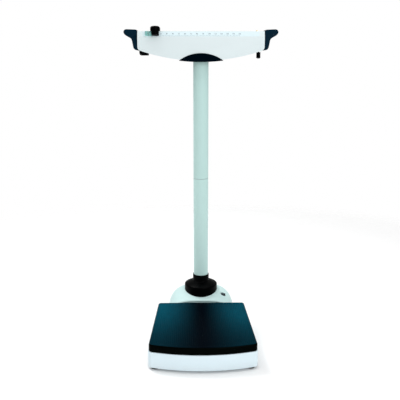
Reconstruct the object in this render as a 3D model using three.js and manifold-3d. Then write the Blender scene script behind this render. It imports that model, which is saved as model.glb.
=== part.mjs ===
// Waist-high mechanical column scale with a sliding-weight beam.
//
// Frame: millimetres, +Z up, +X to the right of the person who stands in front of the beam,
// +Y to the back. The origin is on the floor, in the middle of the footprint.

import * as THREE from 'three';
import { mergeVertices } from 'three/addons/utils/BufferGeometryUtils.js';
import Module from 'manifold-3d';

const wasm = await Module();
wasm.setup();

// ---------------------------------------------------------------- driving dimensions

const GAP = 0.3; // air between pieces that rest on each other

// Base and platform, seen from above
const PLATFORM = {
  rearHalf: 152.2, // half width at the rear edge
  frontHalf: 167, // half width at the front corners
  rearY: 100.5,
  frontY: -258, // middle of the bowed front edge
  bowRadius: 519,
  frontCorner: 14,
  rearCorner: 10,
};
const FRONT_CORNER_Y = -230;
const PAN = { reveal: 2, wall: 4, floorZ: 8, floor: 3, topZ: 58.6 };
const MAT = { topZ: 83, bottomZ: 60, top: 4, skirt: 3 };
const PLATE = { inset: 3.6, sheet: 2.5, bottomZ: 63 };

// White housing that carries the column behind the platform
const COLUMN_Y = 180;
const DOME = {
  frontY: 105,
  ridgeY: 205,
  rearY: 260,
  halfWidth: 119,
  ridgeZ: 112,
  frontFall: 0.00259, // how fast the ridge falls towards the front, per millimetre
  across: 3, // superellipse powers
  along: 2.6,
  wall: 4.5,
};
const DOME_STEPS = { front: 5, rear: 9, across: 20, tail: 0.97 }; // tail: share of the last quarter turn

// Column
const TUBE = { radius: 26, wall: 2.5, bottomZ: 70.3, seamZ: 519, topZ: 959.7 };
const SLEEVE = { length: 98, wall: 2.5, ring: 0.8, ringRadius: 25.2 };
const FOOT = { radius: 59, rimZ: 129, coneZ: 139, collarRadius: 29, collarZ: 164, wall: 4 };
const BRACKET = { half: 44, depth: 56, sheet: 4, topZ: 70, holeRadius: 9 };
const COLUMN_HOLE_RADIUS = 30; // in the housing

// Head
const HEAD = {
  half: 210,
  topZ: 1019,
  bottomZ: 919,
  bottomRadius: 640,
  corner: 12,
  topCorner: 0.5,
  wall: 3,
  halfDepth: 48,
  bandZ: 1000, // above this height the face leans back
  bandLean: 7,
};
const SADDLE = { half: 74, tipZ: 924, rise: 24, drop: 4.5, halfDepth: 50 };
const SPIRIT_LEVEL = { x: 80, y: 152, radius: 9, wall: 1.5, bottomZ: 80, topZ: 94 };
const COVER_SCREW = { x: 120, z: 975, headRadius: 4.2, head: 2.2 };

// Beam and its sliding weights
const FULCRUM = { x: 25, z: 980 };
const LOAD_PIVOT_X = 0;
const BEAM = {
  leftX: -185,
  rightX: 168,
  bottomZ: 999,
  topZ: 1021,
  thickness: 8,
  notchPitch: 10,
  notchCount: 31,
  notchDepth: 1.6,
  pointerX: 190,
  pointerZ: 1025,
};
const FINE_BAR = { leftX: -178, rightX: 170.5, y: 200, thickness: 4, bottomZ: 1003, topZ: 1013, yoke: 5 };
const KNIFE = 6; // side of the square knife bars
const POISE = {
  x: -150,
  width: 26,
  outerHalf: 12,
  bottomZ: 993,
  topZ: 1032,
  armZ: 1027,
  armHalf: 12,
  plate: 3,
};
const POISE_SLACK = 0.6; // between a sliding weight and its bar
const POISE_FRONT_Y = 122; // front face of the plate that hangs in front of the rim
const POISE_KNOB = { y: 110, radius: 15.7, neckRadius: 12.3, bottomZ: 1005, neckZ: 1016, topZ: 1034 };
const WINDOW = { leftX: -184, rightX: -162.4, bottomZ: 1003, topZ: 1018, sheet: 2 };
const FINE_POISE = { x: -112, width: 16, outerHalf: 7, bottomZ: 996, topZ: 1017 };
const TARE = { z: 954, knobLeft: -207.5, knobRight: -176, radius: 13, studRadius: 2.5 };
const TARE_WEIGHT = { leftX: -160, rightX: -148, radius: 9 };
const TARE_STUD_END_X = -136;
const TARE_SLOT = { leftX: -230, halfDepth: 20, topZ: 981, past: 4 }; // opening under the left end
const TARE_BRACKET = { leftX: -175.7, rightX: -170 };
const LOCK = { x: 195, radius: 7.2, bottomZ: 931, topZ: 952, stemRadius: 3, stemTopZ: 975 };
const RAIL = { leftX: -130, rightX: 202, halfDepth: 30, bottomZ: 960, sheet: 3, rodHoleRadius: 12 };
const BEAM_STOP = { leftX: -125, rightX: 160, half: 3, halfDepth: 3.4, clear: 0.8 };
const INDEX_POST = { leftX: 172, rightX: 178, frontY: 187, rearY: 191, topZ: 1020 };
const FULCRUM_POST = { half: 9, near: 18, far: 26 };
const FULCRUM_BLOCK = { half: 8, height: 7 };
const HUB = { left: 10, right: 12, drop: 9, shoulder: 12 }; // the thick part of the beam round its knives
const POINTER = { stemBottomZ: 1004, stemTopZ: 1012, width: 6, slant: 4 };

// Levers under the platform
const LONG_LEVER = {
  fulcrumY: -205,
  loadY: -180,
  crossY: -65,
  noseY: COLUMN_Y,
  armX: 98,
  neckX: 12,
  neckY: 60,
  bottomZ: 34,
  width: 12,
};
const SHORT_LEVER = {
  fulcrumY: 75,
  loadY: 50,
  noseY: -65,
  armX: 95,
  neckX: 11,
  neckY: -30,
  bottomZ: 16,
  width: 11,
};
const LEVER_THICKNESS = 12;
const KNIFE_BAR = { inner: 10, outer: 26 }; // reach of a knife bar on each side of its arm
const LEVER_END = { heel: 9, knee: 12, lap: 4, noseLap: 8 }; // how the arms run past and into each other
const ROD_RADIUS = 2.5;
const ROD_HEAD = { radius: 6, height: 4 };
const STIRRUP = { drop: 15, half: 10, side: 3, beside: 9, floor: 4, eyeHalf: 6.5, eyeDrop: 9 };

// Feet and castors
const FRONT_FOOT = { x: 147, y: -217 };
const REAR_FOOT = { x: 98, y: 195 };
const LEVELLER = { radius: 14, topZ: 7.7, stemRadius: 4, stemTopZ: 22, bossRadius: 8, bossTopZ: 20 };
const CASTOR = { x: 82, y: 238, z: 20, radius: 16, width: 12, axleRadius: 3 };
const EAR = { inner: 13, outer: 7.5, front: 9, rear: 6, topZ: 29 }; // lugs that hold the castors' axles
const WELL = { beside: 1.2, round: 3, outward: 8 }; // room round a castor wheel
const NOSE_GATE = { half: 34, front: 12, rear: 8 }; // opening in the pan's rear wall for the lever

// ---------------------------------------------------------------- finishes

const paint = (color, roughness, metalness) =>
  new THREE.MeshStandardMaterial({ color, roughness, metalness });

const FINISH = {
  whiteShell: paint(0xe4eef2, 0.45, 0),
  tube: paint(0xcfe0de, 0.35, 0.2),
  black: paint(0x0a0e11, 0.5, 0),
  cap: paint(0x0c2a36, 0.4, 0),
  rubber: paint(0x04303c, 0.8, 0),
  castIron: paint(0x3a3e42, 0.7, 0.6),
  steel: paint(0xb4b9bc, 0.35, 0.9),
  zinc: paint(0x9aa1a5, 0.45, 0.8),
  brass: paint(0xb58e3c, 0.35, 0.9),
  window: paint(0x7fb59a, 0.15, 0),
  clear: paint(0xbfe060, 0.1, 0),
};

// ---------------------------------------------------------------- solids

/** Merges a geometry's corners and turns it to face outwards, ready for cutting and joining. */
function solidOf(geometry) {
  const bare = geometry.clone();
  bare.deleteAttribute('normal');
  bare.deleteAttribute('uv');
  const merged = mergeVertices(bare, 1e-4);
  const vertices = new Float32Array(merged.attributes.position.array);
  const triangles = new Uint32Array(merged.index.array);
  if (signedVolume(vertices, triangles) < 0) {
    for (let i = 0; i < triangles.length; i += 3) {
      [triangles[i], triangles[i + 1]] = [triangles[i + 1], triangles[i]];
    }
  }
  const mesh = new wasm.Mesh({ numProp: 3, vertProperties: vertices, triVerts: triangles });
  return new wasm.Manifold(mesh);
}

/** Six times the volume inside a triangle list; negative when its faces point inwards. */
function signedVolume(vertices, triangles) {
  const corner = (i) => new THREE.Vector3().fromArray(vertices, 3 * triangles[i]);
  let total = 0;
  for (let i = 0; i < triangles.length; i += 3) {
    total += corner(i).dot(corner(i + 1).cross(corner(i + 2)));
  }
  return total;
}

/** Turns a finished solid back into a geometry. */
function geometryOf(solid) {
  const mesh = solid.getMesh();
  const geometry = new THREE.BufferGeometry();
  geometry.setAttribute('position', new THREE.BufferAttribute(mesh.vertProperties, 3));
  geometry.setIndex(new THREE.BufferAttribute(mesh.triVerts, 1));
  geometry.computeVertexNormals();
  return geometry;
}

const join = (...solids) => solids.reduce((sum, solid) => sum.add(solid));
const cut = (solid, ...tools) => tools.reduce((rest, tool) => rest.subtract(tool), solid);

/** A block between two corners. */
function block([x0, x1], [y0, y1], [z0, z1]) {
  const geometry = new THREE.BoxGeometry(x1 - x0, y1 - y0, z1 - z0);
  geometry.translate((x0 + x1) / 2, (y0 + y1) / 2, (z0 + z1) / 2);
  return solidOf(geometry);
}

/** An upright round bar. */
function post(x, y, radius, [z0, z1], sides = 24) {
  const geometry = new THREE.CylinderGeometry(radius, radius, z1 - z0, sides);
  geometry.rotateX(Math.PI / 2);
  geometry.translate(x, y, (z0 + z1) / 2);
  return solidOf(geometry);
}

/** A round bar that lies along X. */
function shaft([x0, x1], y, z, radius, sides = 20) {
  const geometry = new THREE.CylinderGeometry(radius, radius, x1 - x0, sides);
  geometry.rotateZ(Math.PI / 2);
  geometry.translate((x0 + x1) / 2, y, z);
  return solidOf(geometry);
}

/** Turns a profile of [radius, height] points about an upright axis. */
function turned(profile, x = 0, y = 0, sides = 32) {
  const points = profile.map(([radius, height]) => new THREE.Vector2(radius, height));
  const geometry = new THREE.LatheGeometry(points, sides);
  geometry.rotateX(Math.PI / 2);
  geometry.translate(x, y, 0);
  return solidOf(geometry);
}

/** Turns a profile of [radius, distance along X] points about an axis that lies along X. */
function turnedAlongX(profile, y, z, sides = 24) {
  const points = profile.map(([radius, along]) => new THREE.Vector2(radius, along));
  const geometry = new THREE.LatheGeometry(points, sides);
  geometry.rotateZ(-Math.PI / 2);
  geometry.translate(0, y, z);
  return solidOf(geometry);
}

/** A tube profile that closes on itself, for `turned`. */
const ring = (inner, outer, z0, z1) => [
  [inner, z0],
  [outer, z0],
  [outer, z1],
  [inner, z1],
  [inner, z0],
];

const prism = (shape, depth, curveSegments = 8) =>
  new THREE.ExtrudeGeometry(shape, { depth, bevelEnabled: false, curveSegments, steps: 1 });

/** Extrudes a plan-view outline upwards. */
function slab(shape, [z0, z1], curveSegments) {
  return solidOf(prism(shape, z1 - z0, curveSegments).translate(0, 0, z0));
}

/** Extrudes a front-view outline, drawn in X and Z, from front to back. */
function panel(shape, [y0, y1], curveSegments) {
  return solidOf(prism(shape, y1 - y0, curveSegments).rotateX(Math.PI / 2).translate(0, y1, 0));
}

/** Extrudes a side-view outline, drawn in Y and Z, from left to right. */
function moulding(shape, [x0, x1]) {
  const turn = new THREE.Matrix4().makeBasis(
    new THREE.Vector3(0, 1, 0),
    new THREE.Vector3(0, 0, 1),
    new THREE.Vector3(1, 0, 0),
  );
  return solidOf(prism(shape, x1 - x0).applyMatrix4(turn).translate(x0, 0, 0));
}

/** A closed outline through [across, up] corners. */
function polygon(corners) {
  return new THREE.Shape(corners.map(([across, up]) => new THREE.Vector2(across, up)));
}

/** A square bar on edge, along X or Y, as a knife pivot. */
function knife(axis, [from, to], across, z) {
  const geometry = new THREE.BoxGeometry(KNIFE, KNIFE, to - from);
  geometry.rotateZ(Math.PI / 4);
  if (axis === 'x') {
    geometry.rotateY(Math.PI / 2);
    geometry.translate((from + to) / 2, across, z);
  } else {
    geometry.rotateX(Math.PI / 2);
    geometry.translate(across, (from + to) / 2, z);
  }
  return solidOf(geometry);
}

const KNIFE_HALF = KNIFE / Math.SQRT2; // height of a knife's edge above its centre

/**
 * An outline with two straight flanks, a straight upper edge and a lower edge bowed outwards,
 * with round corners. It serves for the platform in plan and for the head in front view.
 */
function bowedOutline({ upperHalf, lowerHalf, lowerY, upperY, apex, radius, lowerCorner, upperCorner }) {
  const slope = (lowerHalf - upperHalf) / (lowerY - upperY);
  const stretch = Math.hypot(1, slope);
  const centreY = apex + radius;
  const offset = upperHalf - slope * upperY - lowerCorner * stretch;
  const a = slope * slope + 1;
  const b = offset * slope - centreY;
  const c = offset * offset + centreY * centreY - (radius - lowerCorner) ** 2;
  const cornerY = (-b - Math.sqrt(b * b - a * c)) / a;
  const cornerX = offset + slope * cornerY;
  const bowAngle = Math.atan2(cornerY - centreY, cornerX);
  const flankAngle = Math.atan2(-slope, 1);
  const topY = upperY - upperCorner;
  const topX = upperHalf + slope * (topY - upperY) - upperCorner * stretch;
  const shape = new THREE.Shape();
  shape.absarc(0, centreY, radius, Math.PI - bowAngle - 2 * Math.PI, bowAngle, false);
  shape.absarc(cornerX, cornerY, lowerCorner, bowAngle, flankAngle, false);
  shape.absarc(topX, topY, upperCorner, flankAngle, Math.PI / 2, false);
  shape.absarc(-topX, topY, upperCorner, Math.PI / 2, Math.PI - flankAngle, false);
  shape.absarc(-cornerX, cornerY, lowerCorner, Math.PI - flankAngle, Math.PI - bowAngle, false);
  return shape;
}

/** The platform's plan outline, grown outwards by `grow`. */
function platformOutline(grow) {
  return bowedOutline({
    upperHalf: PLATFORM.rearHalf + grow,
    lowerHalf: PLATFORM.frontHalf + grow,
    lowerY: FRONT_CORNER_Y,
    upperY: PLATFORM.rearY + grow,
    apex: PLATFORM.frontY - grow,
    radius: PLATFORM.bowRadius + grow,
    lowerCorner: PLATFORM.frontCorner + grow,
    upperCorner: PLATFORM.rearCorner + grow,
  });
}

/** The head's front outline, drawn in by `inset` at the ends and the bottom. */
function headOutline(inset, topZ) {
  return bowedOutline({
    upperHalf: HEAD.half - inset,
    lowerHalf: HEAD.half - inset,
    lowerY: HEAD.bottomZ,
    upperY: topZ,
    apex: HEAD.bottomZ + inset,
    radius: HEAD.bottomRadius - inset,
    lowerCorner: HEAD.corner - inset,
    upperCorner: HEAD.topCorner,
  });
}

// ---------------------------------------------------------------- base

/**
 * The column housing's outer form, grown by `grow`, with a flat front at `frontY` and its
 * skirt carried down to `bottomZ`. Each section across it is half a superellipse.
 */
function domeForm(grow, frontY, bottomZ) {
  const { front: frontSteps, rear: rearSteps, across: columns, tail } = DOME_STEPS;
  const baseZ = PAN.floorZ;
  const rearLength = DOME.rearY - COLUMN_Y + grow;
  const ridgeLength = DOME.rearY - DOME.ridgeY + grow;
  const fade = (t) => (t <= 0 ? 1 : (1 - t ** DOME.along) ** (1 / DOME.along));
  const stations = [];
  for (let i = 0; i < frontSteps; i++) {
    stations.push(frontY + ((COLUMN_Y - frontY) * i) / frontSteps);
  }
  for (let i = 0; i <= rearSteps; i++) {
    stations.push(COLUMN_Y + rearLength * Math.sin((Math.PI / 2) * tail * (i / rearSteps)));
  }
  const vertices = [];
  for (const y of stations) {
    const half = (DOME.halfWidth + grow) * fade((y - COLUMN_Y) / rearLength);
    const ahead = Math.max(0, DOME.ridgeY - y);
    const ridge = DOME.ridgeZ + grow - DOME.frontFall * ahead * ahead;
    const height = (ridge - baseZ) * fade((y - DOME.ridgeY) / ridgeLength);
    vertices.push(half, y, bottomZ);
    for (let j = 0; j <= columns; j++) {
      const angle = (Math.PI * j) / columns;
      const x = half * Math.sign(Math.cos(angle)) * Math.abs(Math.cos(angle)) ** (2 / DOME.across);
      vertices.push(x, y, baseZ + height * Math.sin(angle) ** (2 / DOME.across));
    }
    vertices.push(-half, y, bottomZ);
  }
  return solidOf(lofted(vertices, columns + 3));
}

/** Skins closed sections of `count` points each, with flat ends. */
function lofted(vertices, count) {
  const sections = vertices.length / 3 / count;
  const faces = [];
  for (let s = 0; s + 1 < sections; s++) {
    for (let j = 0; j < count; j++) {
      const here = s * count + j;
      const next = s * count + ((j + 1) % count);
      faces.push(here, next, next + count, here, next + count, here + count);
    }
  }
  const last = (sections - 1) * count;
  for (let j = 1; j + 1 < count; j++) {
    faces.push(0, j + 1, j, last, last + j, last + j + 1);
  }
  const geometry = new THREE.BufferGeometry();
  geometry.setAttribute('position', new THREE.Float32BufferAttribute(vertices, 3));
  geometry.setIndex(faces);
  return geometry;
}

const feetPlaces = {
  front_left: [-FRONT_FOOT.x, FRONT_FOOT.y],
  front_right: [FRONT_FOOT.x, FRONT_FOOT.y],
  rear_left: [-REAR_FOOT.x, REAR_FOOT.y],
  rear_right: [REAR_FOOT.x, REAR_FOOT.y],
};

/** The white tray with the floor that runs back under the column housing. */
function basePan() {
  const floorTop = PAN.floorZ + PAN.floor;
  const tray = cut(
    slab(platformOutline(PAN.reveal), [PAN.floorZ, PAN.topZ]),
    slab(platformOutline(PAN.reveal - PAN.wall), [floorTop, PAN.topZ + 10]),
  );
  const underDome = domeForm(-DOME.wall - 1, PLATFORM.rearY - 5, PAN.floorZ - 1);
  const tongue = underDome.intersect(block([-200, 200], [0, 300], [PAN.floorZ, floorTop]));
  const ears = [-1, 1].map((side) =>
    block(
      sideSpan(side, CASTOR.x - EAR.inner, CASTOR.x - EAR.outer),
      [CASTOR.y - EAR.front, CASTOR.y + EAR.rear],
      [floorTop - 1, EAR.topZ],
    ),
  );
  const bosses = Object.values(feetPlaces).map(([x, y]) =>
    post(x, y, LEVELLER.bossRadius, [floorTop - 1, LEVELLER.bossTopZ], 16),
  );
  const footHoles = Object.values(feetPlaces).map(([x, y]) =>
    post(x, y, LEVELLER.stemRadius + GAP, [0, 30], 16),
  );
  const noseGate = block(
    [-NOSE_GATE.half, NOSE_GATE.half],
    [PLATFORM.rearY - NOSE_GATE.front, PLATFORM.rearY + NOSE_GATE.rear],
    [floorTop, PAN.topZ + 1],
  );
  const wheelWells = [-1, 1].map((side) => wheelWell(side));
  const axleHole = shaft([-100, 100], CASTOR.y, CASTOR.z, CASTOR.axleRadius + GAP, 16);
  return cut(join(tray, tongue, ...ears, ...bosses), noseGate, ...footHoles, ...wheelWells, axleHole);
}

/** A span along X on the left (-1) or the right (+1) side. */
function sideSpan(side, inner, outer) {
  return side < 0 ? [-outer, -inner] : [inner, outer];
}

/** The space a castor wheel turns in. */
function wheelWell(side) {
  const half = CASTOR.width / 2 + WELL.beside;
  const reach = CASTOR.radius + WELL.round;
  return block(
    sideSpan(side, CASTOR.x - half, CASTOR.x + half + WELL.outward),
    [CASTOR.y - reach, CASTOR.y + reach + WELL.outward],
    [0, CASTOR.z + reach],
  );
}

/** The white domed shell behind the platform. */
function columnHousing() {
  const form = domeForm(0, DOME.frontY, PAN.floorZ);
  const inside = domeForm(-DOME.wall, DOME.frontY - 20, PAN.floorZ - 20);
  const columnHole = post(0, COLUMN_Y, COLUMN_HOLE_RADIUS, [60, 140]);
  const levelHole = post(SPIRIT_LEVEL.x, SPIRIT_LEVEL.y, SPIRIT_LEVEL.radius + GAP, [70, 140]);
  return cut(form, inside, columnHole, levelHole, wheelWell(-1), wheelWell(1));
}

/** The black flange and collar that the column stands in, shaped to the housing under it. */
function columnFoot() {
  const { radius, rimZ, coneZ, collarRadius, collarZ, wall } = FOOT;
  const bore = TUBE.radius + GAP;
  const body = turned(
    [
      [bore, 80],
      [radius, 80],
      [radius, rimZ - 3],
      [radius - 3, rimZ],
      [collarRadius + 2, coneZ],
      [collarRadius, coneZ + 3],
      [collarRadius, collarZ - 1.5],
      [collarRadius - 1.5, collarZ],
      [bore, collarZ],
      [bore, 80],
    ],
    0,
    COLUMN_Y,
    48,
  );
  const hollow = turned(ring(bore + 3, radius - wall, 70, rimZ - wall), 0, COLUMN_Y, 32);
  return cut(body, hollow, domeForm(GAP, DOME.frontY - 10, PAN.floorZ));
}

/** The steel bridge in the housing that carries the column over the lever's nose. */
function columnBracket() {
  const { half, depth, sheet, topZ, holeRadius } = BRACKET;
  const floorTop = PAN.floorZ + PAN.floor + GAP;
  const outer = block([-half, half], [COLUMN_Y - depth / 2, COLUMN_Y + depth / 2], [floorTop, topZ]);
  const inner = block(
    [-half + sheet, half - sheet],
    [COLUMN_Y - depth, COLUMN_Y + depth],
    [floorTop - 5, topZ - sheet],
  );
  return cut(outer, inner, post(0, COLUMN_Y, holeRadius, [50, 80], 16));
}

/** A tube of the column between two heights. */
function columnTube(z0, z1) {
  return turned(ring(TUBE.radius - TUBE.wall, TUBE.radius, z0, z1), 0, COLUMN_Y, 40);
}

/** The sleeve inside the joint of the two tubes, with the thin ring that shows as a seam. */
function couplingSleeve() {
  const outer = TUBE.radius - TUBE.wall - GAP;
  const inner = outer - SLEEVE.wall;
  const from = TUBE.seamZ - SLEEVE.length / 2;
  const to = TUBE.seamZ + SLEEVE.length / 2;
  const half = SLEEVE.ring / 2;
  const profile = [
    [inner, from],
    [outer, from],
    [outer, TUBE.seamZ - half],
    [SLEEVE.ringRadius, TUBE.seamZ - half],
    [SLEEVE.ringRadius, TUBE.seamZ + half],
    [outer, TUBE.seamZ + half],
    [outer, to],
    [inner, to],
    [inner, from],
  ];
  return turned(profile, 0, COLUMN_Y, 32);
}

/** A screw-in foot with a round pad. */
function levellingFoot([x, y]) {
  const { radius, topZ, stemRadius, stemTopZ } = LEVELLER;
  const profile = [
    [0, 0],
    [radius - 1, 0],
    [radius, 1],
    [radius, topZ - 2],
    [radius - 3, topZ],
    [stemRadius, topZ],
    [stemRadius, stemTopZ],
    [0, stemTopZ],
  ];
  return turned(profile, x, y, 24);
}

/** The cup of the round spirit level. */
function spiritLevelCup() {
  const { x, y, radius, wall, bottomZ, topZ } = SPIRIT_LEVEL;
  const profile = [
    [0, bottomZ],
    [radius, bottomZ],
    [radius, topZ],
    [radius - wall, topZ],
    [radius - wall, bottomZ + wall],
    [0, bottomZ + wall],
  ];
  return turned(profile, x, y, 24);
}

/** The clear vial of the spirit level, with its domed top. */
function spiritLevelVial() {
  const { x, y, radius, wall, bottomZ, topZ } = SPIRIT_LEVEL;
  const outer = radius - wall - GAP;
  const profile = [
    [0, bottomZ + wall + GAP],
    [outer, bottomZ + wall + GAP],
    [outer, topZ - 1],
    [outer * 0.6, topZ - 0.2],
    [0, topZ],
  ];
  return turned(profile, x, y, 24);
}

/** A castor wheel with a bore for its axle. */
function castorWheel(side) {
  const { x, y, z, radius, width, axleRadius } = CASTOR;
  const half = width / 2;
  const bore = axleRadius + GAP;
  const profile = [
    [bore, -half],
    [radius - 2, -half],
    [radius, -half + 2],
    [radius, half - 2],
    [radius - 2, half],
    [bore, half],
    [bore, -half],
  ];
  const alongX = profile.map(([r, along]) => [r, side * x + along]);
  return turnedAlongX(alongX, y, z, 24);
}

/** The stub axle of a castor, with a head outside the wheel. */
function castorAxle(side) {
  const { x, y, z, width, axleRadius } = CASTOR;
  const inner = x - 14;
  const wheelFace = x + width / 2 + GAP;
  const span = sideSpan(side, inner, wheelFace + 0.5);
  const head = sideSpan(side, wheelFace, wheelFace + 2);
  return join(shaft(span, y, z, axleRadius, 16), shaft(head, y, z, axleRadius + 2, 16));
}

// ---------------------------------------------------------------- platform and levers

/** The black rubber mat that wraps over the edge of the platform. */
function platformMat() {
  return cut(
    slab(platformOutline(0), [MAT.bottomZ, MAT.topZ]),
    slab(platformOutline(-MAT.skirt), [MAT.bottomZ - 5, MAT.topZ - MAT.top]),
  );
}

const PLATE_TOP_Z = MAT.topZ - MAT.top - GAP;
const PLATE_UNDER_Z = PLATE_TOP_Z - PLATE.sheet;

/** The pressed steel platform under the mat, with its edge turned down. */
function platformPlate() {
  return cut(
    slab(platformOutline(-PLATE.inset), [PLATE.bottomZ, PLATE_TOP_Z], 5),
    slab(platformOutline(-PLATE.inset - PLATE.sheet), [PLATE.bottomZ - 5, PLATE_UNDER_Z], 5),
  );
}

/** An arm of a lever in plan: a straight strip between two points. */
function strip([x0, y0], [x1, y1], width) {
  const along = new THREE.Vector2(x1 - x0, y1 - y0).normalize();
  const [dx, dy] = [(-along.y * width) / 2, (along.x * width) / 2];
  return polygon([
    [x0 - dx, y0 - dy],
    [x1 - dx, y1 - dy],
    [x1 + dx, y1 + dy],
    [x0 + dx, y0 + dy],
  ]);
}

/** A lever shaped like an A: two arms with a knife pivot near each foot, and a nose bar. */
function aFrameLever(lever, noseReach, crossY) {
  const { fulcrumY, armX, neckX, neckY, noseY, bottomZ, width } = lever;
  const forward = Math.sign(noseY - fulcrumY);
  const span = [bottomZ, bottomZ + LEVER_THICKNESS];
  const heelY = fulcrumY - forward * LEVER_END.heel;
  const kneeY = lever.loadY + forward * LEVER_END.knee;
  const arms = [-1, 1].flatMap((side) => [
    slab(strip([side * armX, heelY], [side * armX, kneeY], width), span),
    slab(strip([side * armX, kneeY - forward * LEVER_END.lap], [side * neckX, neckY], width), span),
  ]);
  const nose = slab(
    strip([0, neckY - forward * LEVER_END.noseLap], [0, noseY + forward * noseReach], 2 * neckX),
    span,
  );
  const armAt = neckX + ((armX - neckX) * (neckY - crossY)) / (neckY - kneeY);
  const cross = slab(strip([-armAt, crossY], [armAt, crossY], width), span);
  const pinY = forward > 0 ? [crossY, noseY] : [noseY];
  const pinHoles = pinY.map((y) => post(0, y, ROD_RADIUS + 1.2, [0, 80], 16));
  const centreZ = bottomZ + LEVER_THICKNESS / 2;
  const slots = [fulcrumY, lever.loadY].map((y) => knifeSeat(y, centreZ));
  return cut(join(...arms, nose, cross), ...pinHoles, ...slots);
}

/** The square-on-edge hole across a lever in which its knives are set. */
function knifeSeat(y, z) {
  const geometry = new THREE.BoxGeometry(KNIFE + 2 * GAP, KNIFE + 2 * GAP, 400);
  geometry.rotateZ(Math.PI / 4);
  geometry.rotateY(Math.PI / 2);
  geometry.translate(0, y, z);
  return solidOf(geometry);
}

/** A knife pivot set across a lever's arm, reaching outwards to its bearing. */
function leverKnife(lever, side, y) {
  const span = sideSpan(side, lever.armX - KNIFE_BAR.inner, lever.armX + KNIFE_BAR.outer);
  return knife('x', span, y, lever.bottomZ + LEVER_THICKNESS / 2);
}

/** Where a bearing stands beside the lever's arm, along X. */
const bearingSpan = (lever, side) =>
  sideSpan(side, lever.armX + lever.width / 2 + 4, lever.armX + KNIFE_BAR.outer - 1);

/** A bearing on the pan's floor that a lever's fulcrum knife rests on. */
function leverStand(lever, side) {
  const edgeZ = lever.bottomZ + LEVER_THICKNESS / 2 - KNIFE_HALF;
  const floorTop = PAN.floorZ + PAN.floor + GAP;
  return block(
    bearingSpan(lever, side),
    [lever.fulcrumY - 7, lever.fulcrumY + 7],
    [floorTop, edgeZ - GAP],
  );
}

/** A post under the platform that rests on a lever's load knife. */
function platformBearing(lever, side) {
  const edgeZ = lever.bottomZ + LEVER_THICKNESS / 2 + KNIFE_HALF;
  return block(
    bearingSpan(lever, side),
    [lever.loadY - 7, lever.loadY + 7],
    [edgeZ + GAP, PLATE_UNDER_Z - GAP],
  );
}

/** The pin with two heads that hangs the short lever's nose from the long lever. */
function leverLink() {
  const foot = SHORT_LEVER.bottomZ - GAP;
  const head = LONG_LEVER.bottomZ + LEVER_THICKNESS + GAP;
  const profile = [
    [0, foot - ROD_HEAD.height],
    [ROD_HEAD.radius, foot - ROD_HEAD.height],
    [ROD_HEAD.radius, foot],
    [ROD_RADIUS, foot],
    [ROD_RADIUS, head],
    [ROD_HEAD.radius, head],
    [ROD_HEAD.radius, head + ROD_HEAD.height],
    [0, head + ROD_HEAD.height],
  ];
  return turned(profile, 0, LONG_LEVER.crossY, 16);
}

/** The rod in the column, with a head under the lever's nose and a stirrup over the beam's knife. */
function pullRod() {
  const headTop = LONG_LEVER.bottomZ - GAP;
  const stirrupZ = FULCRUM.z - STIRRUP.drop;
  const rod = turned(
    [
      [0, headTop - ROD_HEAD.height],
      [ROD_HEAD.radius, headTop - ROD_HEAD.height],
      [ROD_HEAD.radius, headTop],
      [ROD_RADIUS, headTop],
      [ROD_RADIUS, stirrupZ + 2],
      [0, stirrupZ + 2],
    ],
    0,
    COLUMN_Y,
    16,
  );
  const { half, side, beside, floor, eyeHalf, eyeDrop } = STIRRUP;
  const inner = BEAM.thickness / 2 + beside;
  const topZ = FULCRUM.z + KNIFE_HALF + GAP + side;
  const outer = block([-half, half], [COLUMN_Y - inner - side, COLUMN_Y + inner + side], [stirrupZ, topZ]);
  const between = block(
    [-2 * half, 2 * half],
    [COLUMN_Y - inner, COLUMN_Y + inner],
    [stirrupZ + floor, topZ + 5],
  );
  const eye = block(
    [-eyeHalf, eyeHalf],
    [COLUMN_Y - 2 * inner, COLUMN_Y + 2 * inner],
    [FULCRUM.z - eyeDrop, FULCRUM.z + KNIFE_HALF + GAP],
  );
  return join(rod, cut(outer, between, eye));
}

// ---------------------------------------------------------------- head

/** Everything in front of the leaning band of the head, as a cutter. */
function bandRelief() {
  const y = COLUMN_Y - HEAD.halfDepth;
  const slope = HEAD.bandLean / (HEAD.topZ - HEAD.bandZ);
  const top = HEAD.topZ + 20;
  return moulding(
    polygon([
      [y, HEAD.bandZ],
      [y + slope * (top - HEAD.bandZ), top],
      [y - 20, top],
      [y - 20, HEAD.bandZ],
    ]),
    [-300, 300],
  );
}

/** The saddle's outline: a flat crescent between two arcs. */
function saddleOutline() {
  const { half, tipZ, rise, drop } = SADDLE;
  const upper = (half * half + rise * rise) / (2 * rise);
  const lower = (half * half + drop * drop) / (2 * drop);
  const upperAngle = Math.asin(half / upper);
  const lowerAngle = Math.asin(half / lower);
  const shape = new THREE.Shape();
  shape.absarc(0, tipZ + rise - upper, upper, Math.PI / 2 - upperAngle, Math.PI / 2 + upperAngle, false);
  shape.absarc(0, tipZ - drop + lower, lower, -Math.PI / 2 - lowerAngle, -Math.PI / 2 + lowerAngle, false);
  return shape;
}

/** The room that the covers leave for the saddle. */
function saddleRoom() {
  const { half, tipZ, rise, halfDepth } = SADDLE;
  const wide = half + GAP;
  const upper = (half * half + rise * rise) / (2 * rise) + GAP;
  const angle = Math.asin(wide / upper);
  const centreZ = tipZ + GAP - upper * Math.cos(angle);
  const shape = new THREE.Shape();
  shape.moveTo(wide, tipZ - 20);
  shape.lineTo(wide, tipZ + GAP);
  shape.absarc(0, centreZ, upper, Math.PI / 2 - angle, Math.PI / 2 + angle, false);
  shape.lineTo(-wide, tipZ - 20);
  return panel(shape, [COLUMN_Y - halfDepth - 10, COLUMN_Y + halfDepth + 10], 16);
}

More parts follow.
